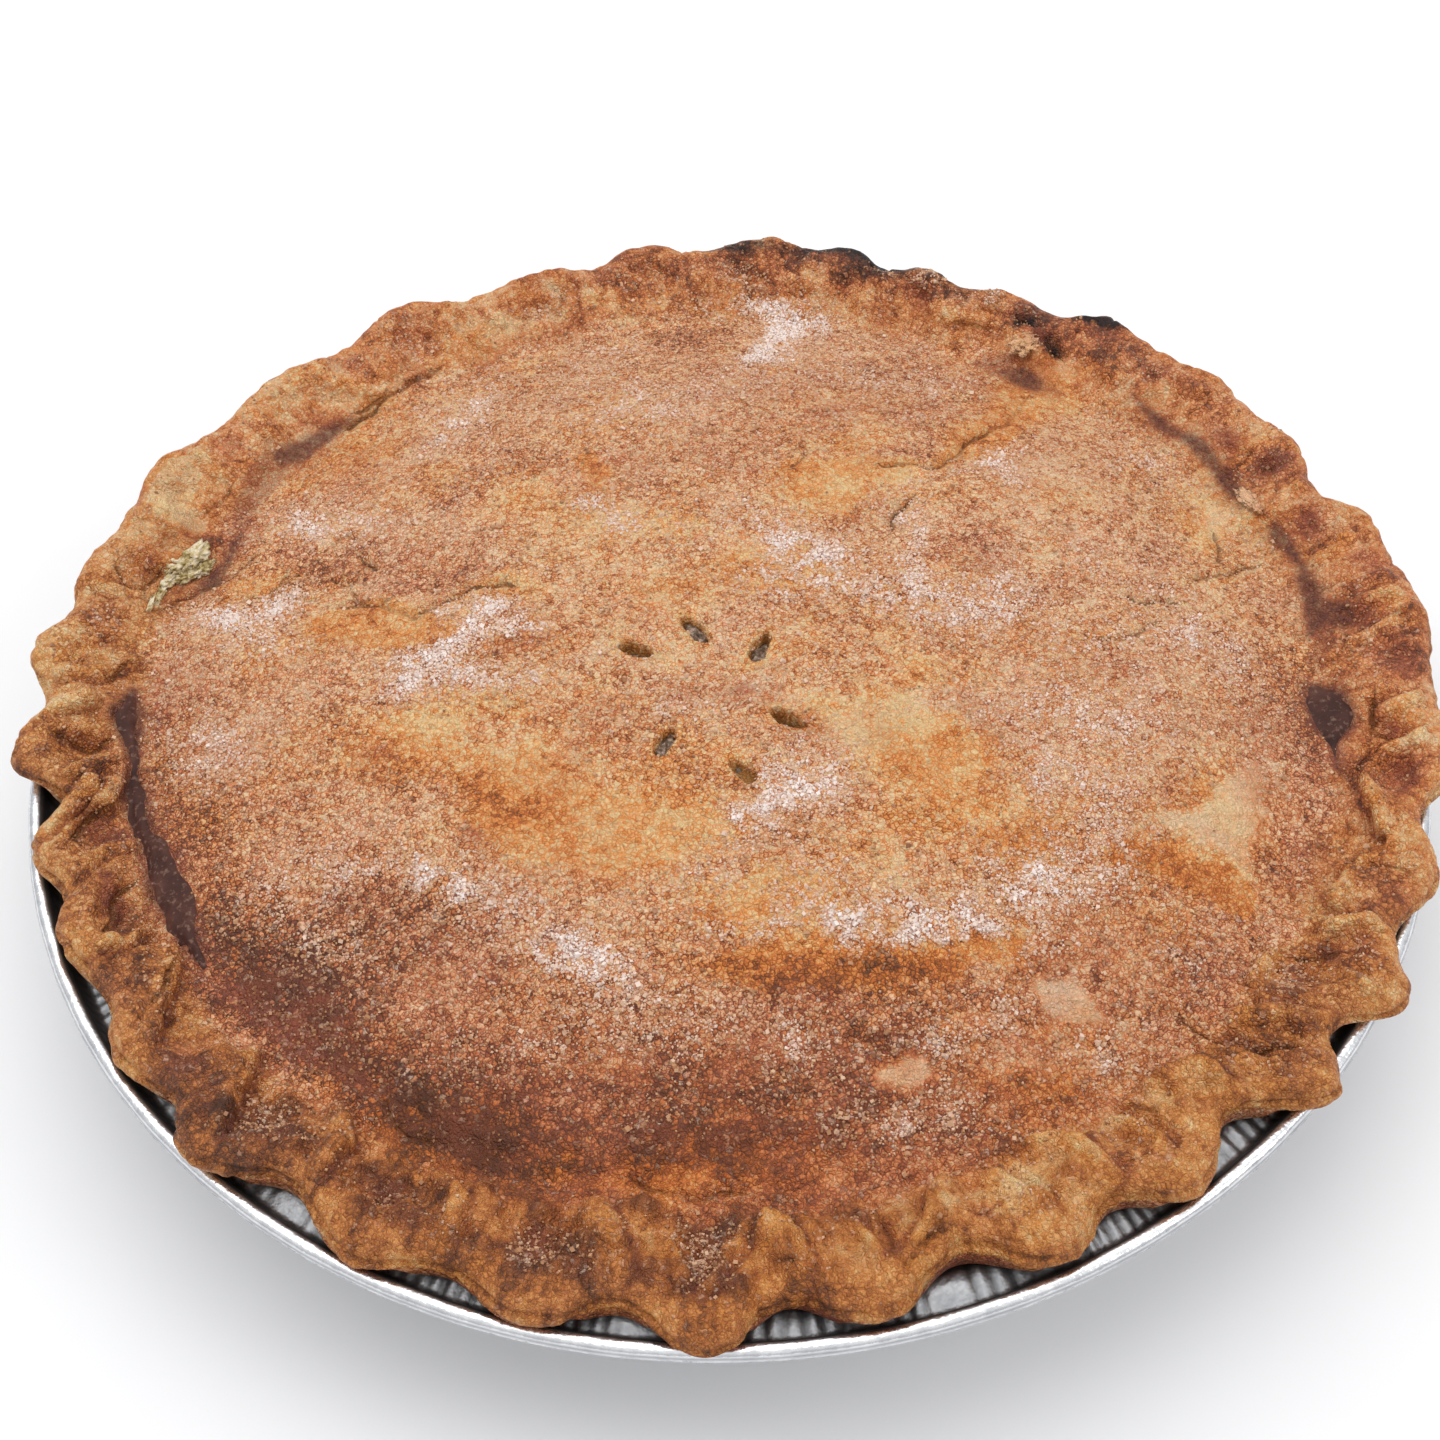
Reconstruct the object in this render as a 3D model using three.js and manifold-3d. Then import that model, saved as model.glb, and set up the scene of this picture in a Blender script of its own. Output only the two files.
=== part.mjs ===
// Double-crust apple pie with a hand-fluted edge, in a round foil pan.
// Millimetres, +Z up. The origin is the middle of the pan's flat underside.
// +X is to the right and -Y is the side nearest the viewer. Angles turn from +X towards +Y.

import * as THREE from 'three';
import { mergeVertices } from 'three/addons/utils/BufferGeometryUtils.js';
import Module from 'manifold-3d';

// Foil pan
const PAN_BASE_R = 92;
const PAN_MOUTH_R = 111;
const PAN_RIM_R = 122;
const PAN_DEPTH = 30;
const FOIL = 0.8;
const BASE_CORNER_R = 3;
const BEAD_R = 1.7;
const FLANGE_R = 117.4;
const FLANGE_DROP = 1.6;
const MOUTH_DROP = 2.6;
const PAN_SIDES = 96;
const BEAD_STEPS = 7;
const BEAD_START = -120;
const BEAD_END = 150;

// Inside of the pan, from the flange's outer end down the wall to the floor: radius, height
const FLANGE_Z = PAN_DEPTH - FLANGE_DROP;
const MOUTH_Z = PAN_DEPTH - MOUTH_DROP;
const CORNER = 0.3 * BASE_CORNER_R;
const PAN_INSIDE = [
  [FLANGE_R, FLANGE_Z + FOIL],
  [PAN_MOUTH_R + 0.4, MOUTH_Z + FOIL],
  [PAN_MOUTH_R - FOIL, MOUTH_Z - 0.5 * FOIL],
  [PAN_BASE_R - CORNER - FOIL, CORNER + FOIL],
  [PAN_BASE_R - BASE_CORNER_R - 0.3 * FOIL, FOIL],
];

// Crust that covers the filling
const GAP = 0.35;
const BEAD_CLIMB_START = 1;
const BEAD_CLIMB_WIDTH = 0.8;
const CREST_Z = 38;
const GROOVE_Z = 32.6;
const GROOVE_R = 104;
const GROOVE_NEAR_SHIFT = 6;
const GROOVE_SOFTNESS = 0.07;
const DOME_RISE = 15.4;
const DOME_POWER = 2.55;
const DOME_NEAR_POWER = 0.35;
const RIM_COLUMNS = 224;
const WALL_COLUMNS = 112;

// Fluted edge
const CREST_WOBBLE = 0.4;
const CREST_INSET = 4.6;
const CREST_NEAR_INSET = 3.4;
const LIP_DROP = 4.2;
const LIP_BELLY = 0.8;
const LIP_UNDERCUT = 2.2;
const DENT_DEPTH = 3.2;
const RIDGE_RISE = 1.3;
const NOTCH_CREST_DROP = 1.2;
const NOTCH_SHARPNESS = 2.1;

// Each flute: the angle of its tip, its reach from the middle, and the reach in the notch after it
const FLUTES = [
  [6, 126.6, 126.2],
  [17, 127.0, 122.2],
  [28, 125.8, 125.2],
  [38, 126.2, 124.8],
  [50, 127.0, 121.0],
  [60, 122.0, 120.4],
  [68, 122.8, 121.4],
  [76, 125.6, 125.0],
  [84, 126.8, 123.2],
  [97, 125.6, 122.8],
  [106, 124.2, 122.4],
  [121, 126.0, 122.8],
  [135, 125.0, 122.8],
  [150, 125.6, 123.4],
  [162, 124.6, 122.6],
  [172, 125.8, 120.8],
  [183, 125.0, 115.4],
  [194, 120.8, 116.8],
  [203, 119.4, 116.2],
  [216, 120.0, 116.8],
  [226, 122.2, 115.0],
  [241, 120.8, 116.2],
  [254, 121.4, 116.0],
  [267, 122.8, 114.4],
  [279, 120.2, 112.6],
  [293, 119.6, 114.6],
  [304, 121.0, 114.0],
  [317, 124.2, 117.6],
  [327, 125.4, 119.6],
  [339, 123.8, 119.6],
  [350, 125.2, 124.0],
];

// Swells and hollows pressed up by the fruit: x, y, height, radius
const LUMPS = [
  [-35, 2, 1.9, 12],
  [-74, 31, -3.0, 14],
  [-84, 19, 1.8, 12],
  [-52, 22, -1.5, 11],
  [-64, -50, -1.8, 19],
  [-46, -36, 1.7, 15],
  [50, 55, -1.7, 11],
  [56, 42, 1.3, 13],
  [36, 36, -0.9, 7],
  [16, -52, 1.4, 18],
  [12, -78, -1.4, 12],
  [64, -30, 1.5, 18],
  [74, 4, 1.0, 16],
  [-8, 62, 1.4, 20],
  [-40, 58, 0.9, 16],
  [22, 20, -0.9, 12],
  [62.4, 87, 2.4, 5],
  [82, 82, 1.0, 8],
  [-101, 33, -1.6, 6],
];
const BUMP_COUNT = 40;
const BUMP_HEIGHT = 0.55;
const BUMP_R = 8;
const BUMP_FIELD_R = 94;
const GOLDEN_ANGLE = Math.PI * (3 - Math.sqrt(5));

// Steam vents: six slits in a ring around a point near the middle: x, y, direction in degrees
const VENTS = [
  [-15, 0, 145],
  [-4.8, 4.2, 118],
  [6.8, -1.4, 78],
  [11, -17.7, -20],
  [2.7, -27.4, -55],
  [-10, -21.6, 63],
];
const VENT_LENGTH = 7;
const VENT_WIDTH = 2.6;
const VENT_DEPTH = 3.5;

const NEAR_SIDE = -Math.PI / 2;
const radians = THREE.MathUtils.degToRad;
const lerp = THREE.MathUtils.lerp;

function turnBetween(a, b) {
  return Math.atan2(Math.sin(a - b), Math.cos(a - b));
}

// 1 on the side nearest the viewer, fading to 0 over about a quarter turn
function nearness(theta) {
  const turn = turnBetween(theta, NEAR_SIDE) / radians(48);
  return Math.exp(-turn * turn);
}

// How far the edge reaches at an angle, and how deep in a notch it is, from 0 to 1
function fluteAt(theta) {
  const degrees = THREE.MathUtils.euclideanModulo(THREE.MathUtils.radToDeg(theta) - FLUTES[0][0], 360);
  let index = 0;
  const offset = (i) => FLUTES[i][0] - FLUTES[0][0];
  while (index < FLUTES.length - 1 && offset(index + 1) <= degrees) index += 1;
  const next = (index + 1) % FLUTES.length;
  const end = next === 0 ? 360 : offset(next);
  const share = (degrees - offset(index)) / (end - offset(index));
  const notch = Math.sin(Math.PI * share) ** NOTCH_SHARPNESS;
  const tip = lerp(FLUTES[index][1], FLUTES[next][1], share * share * (3 - 2 * share));
  return { reach: lerp(tip, FLUTES[index][2], notch), notch };
}

// Height that the fruit under the crust adds at a point
function lumpHeight(x, y) {
  let height = 0;
  for (const [cx, cy, rise, radius] of LUMPS) {
    height += rise * Math.exp(-((x - cx) ** 2 + (y - cy) ** 2) / (radius * radius));
  }
  for (let i = 0; i < BUMP_COUNT; i += 1) {
    const r = BUMP_FIELD_R * Math.sqrt((i + 0.5) / BUMP_COUNT);
    const cx = r * Math.cos(i * GOLDEN_ANGLE);
    const cy = r * Math.sin(i * GOLDEN_ANGLE);
    const rise = BUMP_HEIGHT * Math.sin(2.4 * i + 1);
    height += rise * Math.exp(-((x - cx) ** 2 + (y - cy) ** 2) / (BUMP_R * BUMP_R));
  }
  return height;
}

function grooveRadius(theta) {
  return GROOVE_R - GROOVE_NEAR_SHIFT * nearness(theta);
}

function domeHeight(r, theta) {
  const power = DOME_POWER + DOME_NEAR_POWER * nearness(theta);
  const rise = 1 - Math.min(r / grooveRadius(theta), 1) ** power;
  return GROOVE_Z + DOME_RISE * (Math.hypot(rise, GROOVE_SOFTNESS) - GROOVE_SOFTNESS);
}

// The highest line of the edge
function crestAt(theta) {
  const flute = fluteAt(theta);
  const inset = CREST_INSET + CREST_NEAR_INSET * nearness(theta) * (1 - flute.notch);
  const wobble = CREST_WOBBLE * (Math.sin(5 * theta + 1) + Math.sin(13 * theta));
  return { ...flute, inset, r: flute.reach - inset, z: CREST_Z + wobble - NOTCH_CREST_DROP * flute.notch };
}

// Underside of the edge, just clear of the pan's flange and of its rolled bead
function clearOfPan(r) {
  const [[outerR, outerZ], [innerR, innerZ]] = PAN_INSIDE;
  const flangeTop = lerp(innerZ, outerZ, THREE.MathUtils.clamp((r - innerR) / (outerR - innerR), 0, 1));
  const beadTop = PAN_DEPTH + BEAD_R + GAP;
  const climb = THREE.MathUtils.clamp((r - outerR + BEAD_CLIMB_START) / BEAD_CLIMB_WIDTH, 0, 1);
  return lerp(flangeTop, beadTop, climb) + GAP;
}

function domePoint(theta, share) {
  const r = grooveRadius(theta) * share;
  const z = domeHeight(r, theta) + lumpHeight(r * Math.cos(theta), r * Math.sin(theta));
  return [r, z];
}

// From the groove (share 0) up to the crest (share 1), dented in each flute and ridged at each notch
function rimPoint(theta, share) {
  const crest = crestAt(theta);
  const r = lerp(grooveRadius(theta), crest.r, share);
  const rise = share * share * (3 - 2 * share);
  const swell = Math.sin(Math.PI * share);
  const dent = DENT_DEPTH * (1 - crest.notch) * swell * swell * share;
  const ridge = RIDGE_RISE * crest.notch * swell;
  const lumps = lumpHeight(r * Math.cos(theta), r * Math.sin(theta)) * (1 - share);
  return [r, lerp(GROOVE_Z, crest.z, rise) - dent + ridge + lumps];
}

// From the crest (0) round the outside of the lip (0.5) to its underside (1)
function lipPoint(theta, share) {
  const crest = crestAt(theta);
  const middle = Math.max(crest.z - LIP_DROP, clearOfPan(crest.reach) + LIP_BELLY);
  if (share <= 0.5) {
    const angle = Math.PI * share;
    return [crest.r + crest.inset * Math.sin(angle), lerp(middle, crest.z, Math.cos(angle))];
  }
  const angle = Math.PI * (share - 0.5);
  const undercut = lerp(LIP_UNDERCUT, 1, crest.notch);
  const foot = crest.reach - undercut;
  return [foot + undercut * Math.cos(angle), lerp(middle, clearOfPan(foot), Math.sin(angle))];
}

// Underside between the lip's foot and the pan's mouth: a step down from the bead (0) to the flange (1)
function flangePoint(theta, share) {
  const foot = lipPoint(theta, 1)[0];
  const inwards = lerp(foot, PAN_MOUTH_R, lerp(0.2, 0.4, share));
  const stepR = FLANGE_R - BEAD_CLIMB_START + BEAD_CLIMB_WIDTH * (1 - share);
  const r = Math.min(inwards, stepR);
  return [r, clearOfPan(r)];
}

const domeShares = [
  [0.09, 14], [0.18, 28], [0.27, 28], [0.36, 56], [0.44, 56], [0.52, 56], [0.59, 112],
  [0.66, 112], [0.73, 112], [0.8, 112], [0.87, 112], [0.92, 224], [0.96, 224],
];
const rimShares = [0, 0.22, 0.42, 0.6, 0.8];
const lipShares = [0, 0.14, 0.3, 0.45, 0.62, 0.8, 1];

function pieRings() {
  const rings = domeShares.map(([share, count]) => ({ count, point: (t) => domePoint(t, share) }));
  for (const share of rimShares) rings.push({ count: RIM_COLUMNS, point: (t) => rimPoint(t, share) });
  for (const share of lipShares) rings.push({ count: RIM_COLUMNS, point: (t) => lipPoint(t, share) });
  rings.push({ count: RIM_COLUMNS, point: (t) => flangePoint(t, 0) });
  rings.push({ count: RIM_COLUMNS, point: (t) => flangePoint(t, 1) });
  for (const [r, z] of PAN_INSIDE.slice(1)) {
    rings.push({ count: WALL_COLUMNS, point: () => [r - GAP, z + GAP] });
  }
  rings.push({ count: WALL_COLUMNS / 2, point: () => [PAN_BASE_R / 2, FOIL + GAP] });
  return rings;
}

// Joins rings of points into one closed surface, from the top's middle to the underside's middle.
// The next ring has as many points as the last one, or twice or half as many.
function closedSurface(rings, topZ, bottomZ) {
  const positions = [0, 0, topZ];
  const triangles = [];
  const starts = [];
  for (const { count, point } of rings) {
    starts.push(positions.length / 3);
    for (let i = 0; i < count; i += 1) {
      const theta = (2 * Math.PI * i) / count;
      const [r, z] = point(theta);
      positions.push(r * Math.cos(theta), r * Math.sin(theta), z);
    }
  }
  const last = rings.length - 1;
  const bottom = positions.length / 3;
  positions.push(0, 0, bottomZ);
  for (let i = 0; i < rings[0].count; i += 1) {
    triangles.push(0, starts[0] + i, starts[0] + ((i + 1) % rings[0].count));
  }
  for (let k = 0; k < last; k += 1) {
    const [a, b] = [rings[k].count, rings[k + 1].count];
    const steps = Math.min(a, b);
    const from = (i) => starts[k] + (i % a);
    const to = (i) => starts[k + 1] + (i % b);
    for (let i = 0; i < steps; i += 1) {
      if (a === b) {
        triangles.push(from(i), to(i), to(i + 1), from(i), to(i + 1), from(i + 1));
      } else if (b > a) {
        triangles.push(from(i), to(2 * i), to(2 * i + 1), from(i), to(2 * i + 1), from(i + 1));
        triangles.push(from(i + 1), to(2 * i + 1), to(2 * i + 2));
      } else {
        triangles.push(from(2 * i), to(i), from(2 * i + 1), from(2 * i + 1), to(i), to(i + 1));
        triangles.push(from(2 * i + 1), to(i + 1), from(2 * i + 2));
      }
    }
  }
  for (let i = 0; i < rings[last].count; i += 1) {
    triangles.push(starts[last] + i, bottom, starts[last] + ((i + 1) % rings[last].count));
  }
  const geometry = new THREE.BufferGeometry();
  geometry.setAttribute('position', new THREE.Float32BufferAttribute(positions, 3));
  geometry.setIndex(triangles);
  return geometry;
}

// A slit with round ends, as deep as its vent, standing tall enough to cut through the crust's top
function ventCutter([x, y, degrees]) {
  const r = Math.hypot(x, y);
  const theta = Math.atan2(y, x);
  const top = domeHeight(r, theta) + lumpHeight(x, y);
  const slit = new THREE.Shape();
  slit.absellipse(0, 0, VENT_LENGTH / 2, VENT_WIDTH / 2, 0, 2 * Math.PI);
  const height = 3 * VENT_DEPTH;
  const cutter = new THREE.ExtrudeGeometry(slit, { depth: height, bevelEnabled: false, curveSegments: 6 });
  cutter.rotateZ(radians(degrees));
  cutter.translate(x, y, top - VENT_DEPTH);
  return cutter;
}

const wasm = await Module();
wasm.setup();

function toSolid(geometry) {
  const bare = geometry.clone();
  bare.deleteAttribute('normal');
  bare.deleteAttribute('uv');
  const merged = mergeVertices(bare, 1e-4);
  const mesh = new wasm.Mesh({
    numProp: 3,
    vertProperties: new Float32Array(merged.attributes.position.array),
    triVerts: new Uint32Array(merged.index.array),
  });
  return new wasm.Manifold(mesh);
}

function toGeometry(solid) {
  const mesh = solid.getMesh();
  const geometry = new THREE.BufferGeometry();
  geometry.setAttribute('position', new THREE.BufferAttribute(mesh.vertProperties, 3));
  geometry.setIndex(new THREE.BufferAttribute(mesh.triVerts, 1));
  geometry.computeVertexNormals();
  return geometry;
}

function makePie() {
  const topZ = domeHeight(0, 0) + lumpHeight(0, 0);
  let solid = toSolid(closedSurface(pieRings(), topZ, FOIL + GAP));
  for (const vent of VENTS) solid = solid.subtract(toSolid(ventCutter(vent)));
  const crust = new THREE.MeshStandardMaterial({ color: 0xc07a3c, roughness: 0.8, metalness: 0 });
  const pie = new THREE.Mesh(toGeometry(solid), crust);
  pie.name = 'pie';
  return pie;
}

// Section of the foil: along the underside, round the rolled bead, and back down the inside
function panProfile() {
  const beadX = PAN_RIM_R - BEAD_R;
  const points = [
    [0, 0],
    [PAN_BASE_R - BASE_CORNER_R, 0],
    [PAN_BASE_R - CORNER, CORNER],
    [PAN_MOUTH_R, MOUTH_Z - FOIL],
    [PAN_MOUTH_R + 1, MOUTH_Z],
    [FLANGE_R + 0.6, FLANGE_Z],
  ];
  for (let step = 0; step <= BEAD_STEPS; step += 1) {
    const angle = radians(lerp(BEAD_START, BEAD_END, step / BEAD_STEPS));
    points.push([beadX + BEAD_R * Math.cos(angle), PAN_DEPTH + BEAD_R * Math.sin(angle)]);
  }
  points.push(...PAN_INSIDE, [0, FOIL]);
  return points.map(([r, z]) => new THREE.Vector2(r, z));
}

function makePan() {
  const foil = new THREE.MeshStandardMaterial({ color: 0xc9cbcd, roughness: 0.3, metalness: 1 });
  const pan = new THREE.Mesh(new THREE.LatheGeometry(panProfile(), PAN_SIDES), foil);
  pan.rotation.x = Math.PI / 2;
  pan.name = 'foil_pan';
  return pan;
}

const applePie = new THREE.Group();
applePie.add(makePie());
applePie.add(makePan());

export default applePie;
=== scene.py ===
# Double-crust apple pie in its foil pan: the crust, sugar, baked juice, filling and pleated foil.
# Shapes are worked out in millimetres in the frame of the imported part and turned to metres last.

import math

import bmesh
import bpy
import numpy as np
from mathutils import Matrix, Vector, noise


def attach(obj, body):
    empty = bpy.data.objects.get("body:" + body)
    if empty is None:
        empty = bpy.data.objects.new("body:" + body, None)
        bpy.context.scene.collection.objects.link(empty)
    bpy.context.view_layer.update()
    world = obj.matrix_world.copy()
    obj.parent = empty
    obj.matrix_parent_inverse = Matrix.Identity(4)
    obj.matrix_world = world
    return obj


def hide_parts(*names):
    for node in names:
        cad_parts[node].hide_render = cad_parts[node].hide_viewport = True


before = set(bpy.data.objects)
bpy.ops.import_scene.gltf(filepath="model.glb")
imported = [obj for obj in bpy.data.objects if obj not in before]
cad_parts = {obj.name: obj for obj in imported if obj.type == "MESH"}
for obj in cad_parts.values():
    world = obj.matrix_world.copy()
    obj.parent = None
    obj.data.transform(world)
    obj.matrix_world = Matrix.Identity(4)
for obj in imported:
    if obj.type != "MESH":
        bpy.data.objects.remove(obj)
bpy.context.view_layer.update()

MM = 0.001
PIE_MIDDLE = Vector((0, 0, 30)) * MM

# Foil pan
PAN_MOUTH_R = 111
PAN_RIM_R = 122
PAN_DEPTH = 30
FOIL = 0.25
BEAD_R = 1.7
ROLL_R = 1.45
FLANGE_R = 117.4
BEAD_Z = PAN_DEPTH + 0.1
PLEATS = 288
PLEAT_DEPTH = 1.1
PANEL_DEGREES = 1.7
SMOOTH_PANELS = (233, 262, 285, 308, 18, 75, 140)

# Crust, with the same sizes as the solids
GAP = 0.35
CREST_Z = 38
GROOVE_Z = 32.6
GROOVE_R = 104
GROOVE_NEAR_SHIFT = 6
GROOVE_SOFTNESS = 0.07
DOME_RISE = 15.4
DOME_POWER = 2.55
DOME_NEAR_POWER = 0.35
CREST_WOBBLE = 0.4
CREST_INSET = 4.6
CREST_NEAR_INSET = 3.4
LIP_DROP = 4.2
LIP_BELLY = 0.8
LIP_UNDERCUT = 2.2
DENT_DEPTH = 3.2
RIDGE_RISE = 1.3
NOTCH_CREST_DROP = 1.2
NOTCH_SHARPNESS = 2.1
NEAR_DEGREES = 48
UNDERSIDE = ((110.85, 29.4), (109.85, 27.35), (89.95, 2.05), (88.4, 1.15), (46, 1.15))

# Spacing of the crust's points, finer inside FINE_R where the slits are, and their number round the edge
FINE_R = 34
FINE_STEP = 0.5
COARSE_STEP = 1.18
EDGE_COUNT = 1140
# Radius at which the strands and streaks of the edge have their true size
EDGE_R = 118
# A distance in mm too great to matter
FAR = 99.0

# Each flute: the angle of its tip, its reach from the middle, and the reach in the notch after it
FLUTES = (
    (6, 126.6, 126.2), (17, 127.0, 122.2), (28, 125.8, 125.2), (38, 126.2, 124.8),
    (50, 127.0, 121.0), (60, 122.0, 120.4), (68, 122.8, 121.4), (76, 125.6, 125.0),
    (84, 126.8, 123.2), (97, 125.6, 122.8), (106, 124.2, 122.4), (121, 126.0, 122.8),
    (135, 125.0, 122.8), (150, 125.6, 123.4), (162, 124.6, 122.6), (172, 125.8, 120.8),
    (183, 125.0, 115.4), (194, 120.8, 116.8), (203, 119.4, 116.2), (216, 120.0, 116.8),
    (226, 122.2, 115.0), (241, 120.8, 116.2), (254, 121.4, 116.0), (267, 122.8, 114.4),
    (279, 120.2, 112.6), (293, 119.6, 114.6), (304, 121.0, 114.0), (317, 124.2, 117.6),
    (327, 125.4, 119.6), (339, 123.8, 119.6), (350, 125.2, 124.0),
)

# Swells and hollows pressed up by the fruit: x, y, height, radius
LUMPS = (
    (-35, 2, 1.9, 12), (-74, 31, -3.0, 14), (-84, 19, 1.8, 12), (-52, 22, -1.5, 11),
    (-64, -50, -1.8, 19), (-46, -36, 1.7, 15), (50, 55, -1.7, 11), (56, 42, 1.3, 13),
    (36, 36, -0.9, 7), (16, -52, 1.4, 18), (12, -78, -1.4, 12), (64, -30, 1.5, 18),
    (74, 4, 1.0, 16), (-8, 62, 1.4, 20), (-40, 58, 0.9, 16), (22, 20, -0.9, 12),
    (62.4, 87, 2.4, 5), (82, 82, 1.0, 8), (-101, 33, -1.6, 6),
)
BUMP_COUNT = 40
BUMP_HEIGHT = 0.55
BUMP_R = 8
BUMP_FIELD_R = 94
GOLDEN_ANGLE = math.pi * (3 - math.sqrt(5))

# Steam vents: x, y, direction in degrees, how far it opened, how far the filling stands below the top
VENTS = (
    (-15.2, 1.2, 158, 0.8, 2.3), (-4.8, 5.4, 124, 1.0, 1.0), (6.2, 0.2, 67, 1.0, 1.6),
    (10.4, -15.6, -30, 1.0, 2.8), (-10.2, -19.4, 66, 1.0, 1.0), (2.4, -26.0, -58, 0.4, 1.6),
)
VENT_LENGTH = 7.2
VENT_WIDTH = 3.0
VENT_DEPTH = 3.5

# Cracks where the crust broke as it rose: half width, depth, then the points x, y that each one follows
CRACKS = (
    (0.55, 1.1, (-54.9, 16.1), (-51.6, 17.5), (-49.0, 18.6), (-46.4, 19.6), (-44.4, 21.0)),
    (0.55, 1.2, (-44.4, 21.0), (-40.5, 19.4), (-39.2, 20.2), (-37.6, 19.4)),
    (0.6, 0.8, (-61.9, 19.4), (-57.7, 17.9), (-54.9, 13.9)),
    (0.5, 0.9, (-68.5, 20.5), (-65.7, 20.2), (-61.9, 19.2), (-60.1, 20.5)),
    (0.5, 0.9, (-70.3, 29.2), (-68.5, 27.6), (-66.6, 28.8)),
    (0.5, 0.8, (-66.4, 25.0), (-65.6, 22.0), (-63.4, 20.0)),
    (0.5, 0.9, (-83.5, 27.4), (-80.6, 28.1), (-77.4, 26.2), (-74.2, 24.8)),
    (0.5, 0.7, (-73.2, 38.9), (-69.9, 41.6), (-67.5, 39.3)),
    (0.9, 1.6, (-65.0, 33.0), (-63.3, 30.8)),
    (0.7, 1.6, (-72.7, 76.4), (-68.3, 80.2), (-65.2, 83.4)),
    (0.6, 0.9, (-65.2, 83.4), (-58.3, 89.1), (-55.5, 92.1)),
    (0.5, 0.9, (31.1, 47.6), (34.5, 48.5), (37.3, 49.0), (39.9, 47.3), (42.9, 49.7)),
    (0.7, 1.1, (42.9, 49.7), (45.6, 54.6), (47.6, 58.0), (52.6, 62.6)),
    (0.7, 0.6, (52.6, 62.6), (57.1, 67.0), (62.2, 75.4)),
    (0.6, 1.3, (35.3, 38.8), (33.5, 36.7), (32.3, 34.1), (31.2, 30.3)),
    (0.5, 0.8, (14.7, 46.7), (16.8, 49.9), (16.4, 52.2)),
    (0.5, 1.1, (85.8, 22.1), (89.2, 23.8), (93.0, 26.0), (95.3, 28.3), (98.6, 29.3)),
    (0.5, 0.9, (92.1, 36.3), (92.7, 32.2), (91.3, 28.4)),
    (0.5, 1.1, (72.3, 14.1), (73.7, 13.0), (77.0, 13.6), (80.2, 14.7)),
    (0.5, 0.9, (66.4, 2.4), (69.7, 3.7), (73.1, 5.8), (76.1, 8.0)),
    (0.4, 0.5, (-39.8, -8.3), (-38.6, -6.9), (-37.1, -7.7), (-35.6, -9.6)),
    (0.5, 0.7, (-104.7, 26.8), (-96.8, 34.1), (-90.5, 34.9), (-87.0, 40.0)),
    (0.5, 0.9, (-80.6, 33.6), (-81.4, 30.6), (-83.4, 27.6), (-86.4, 26.6)),
    (1.0, 1.5, (63.1, 96.7), (65.0, 95.2)),
    (1.2, 1.8, (68.3, 90.1), (69.1, 88.4)),
)

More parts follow.
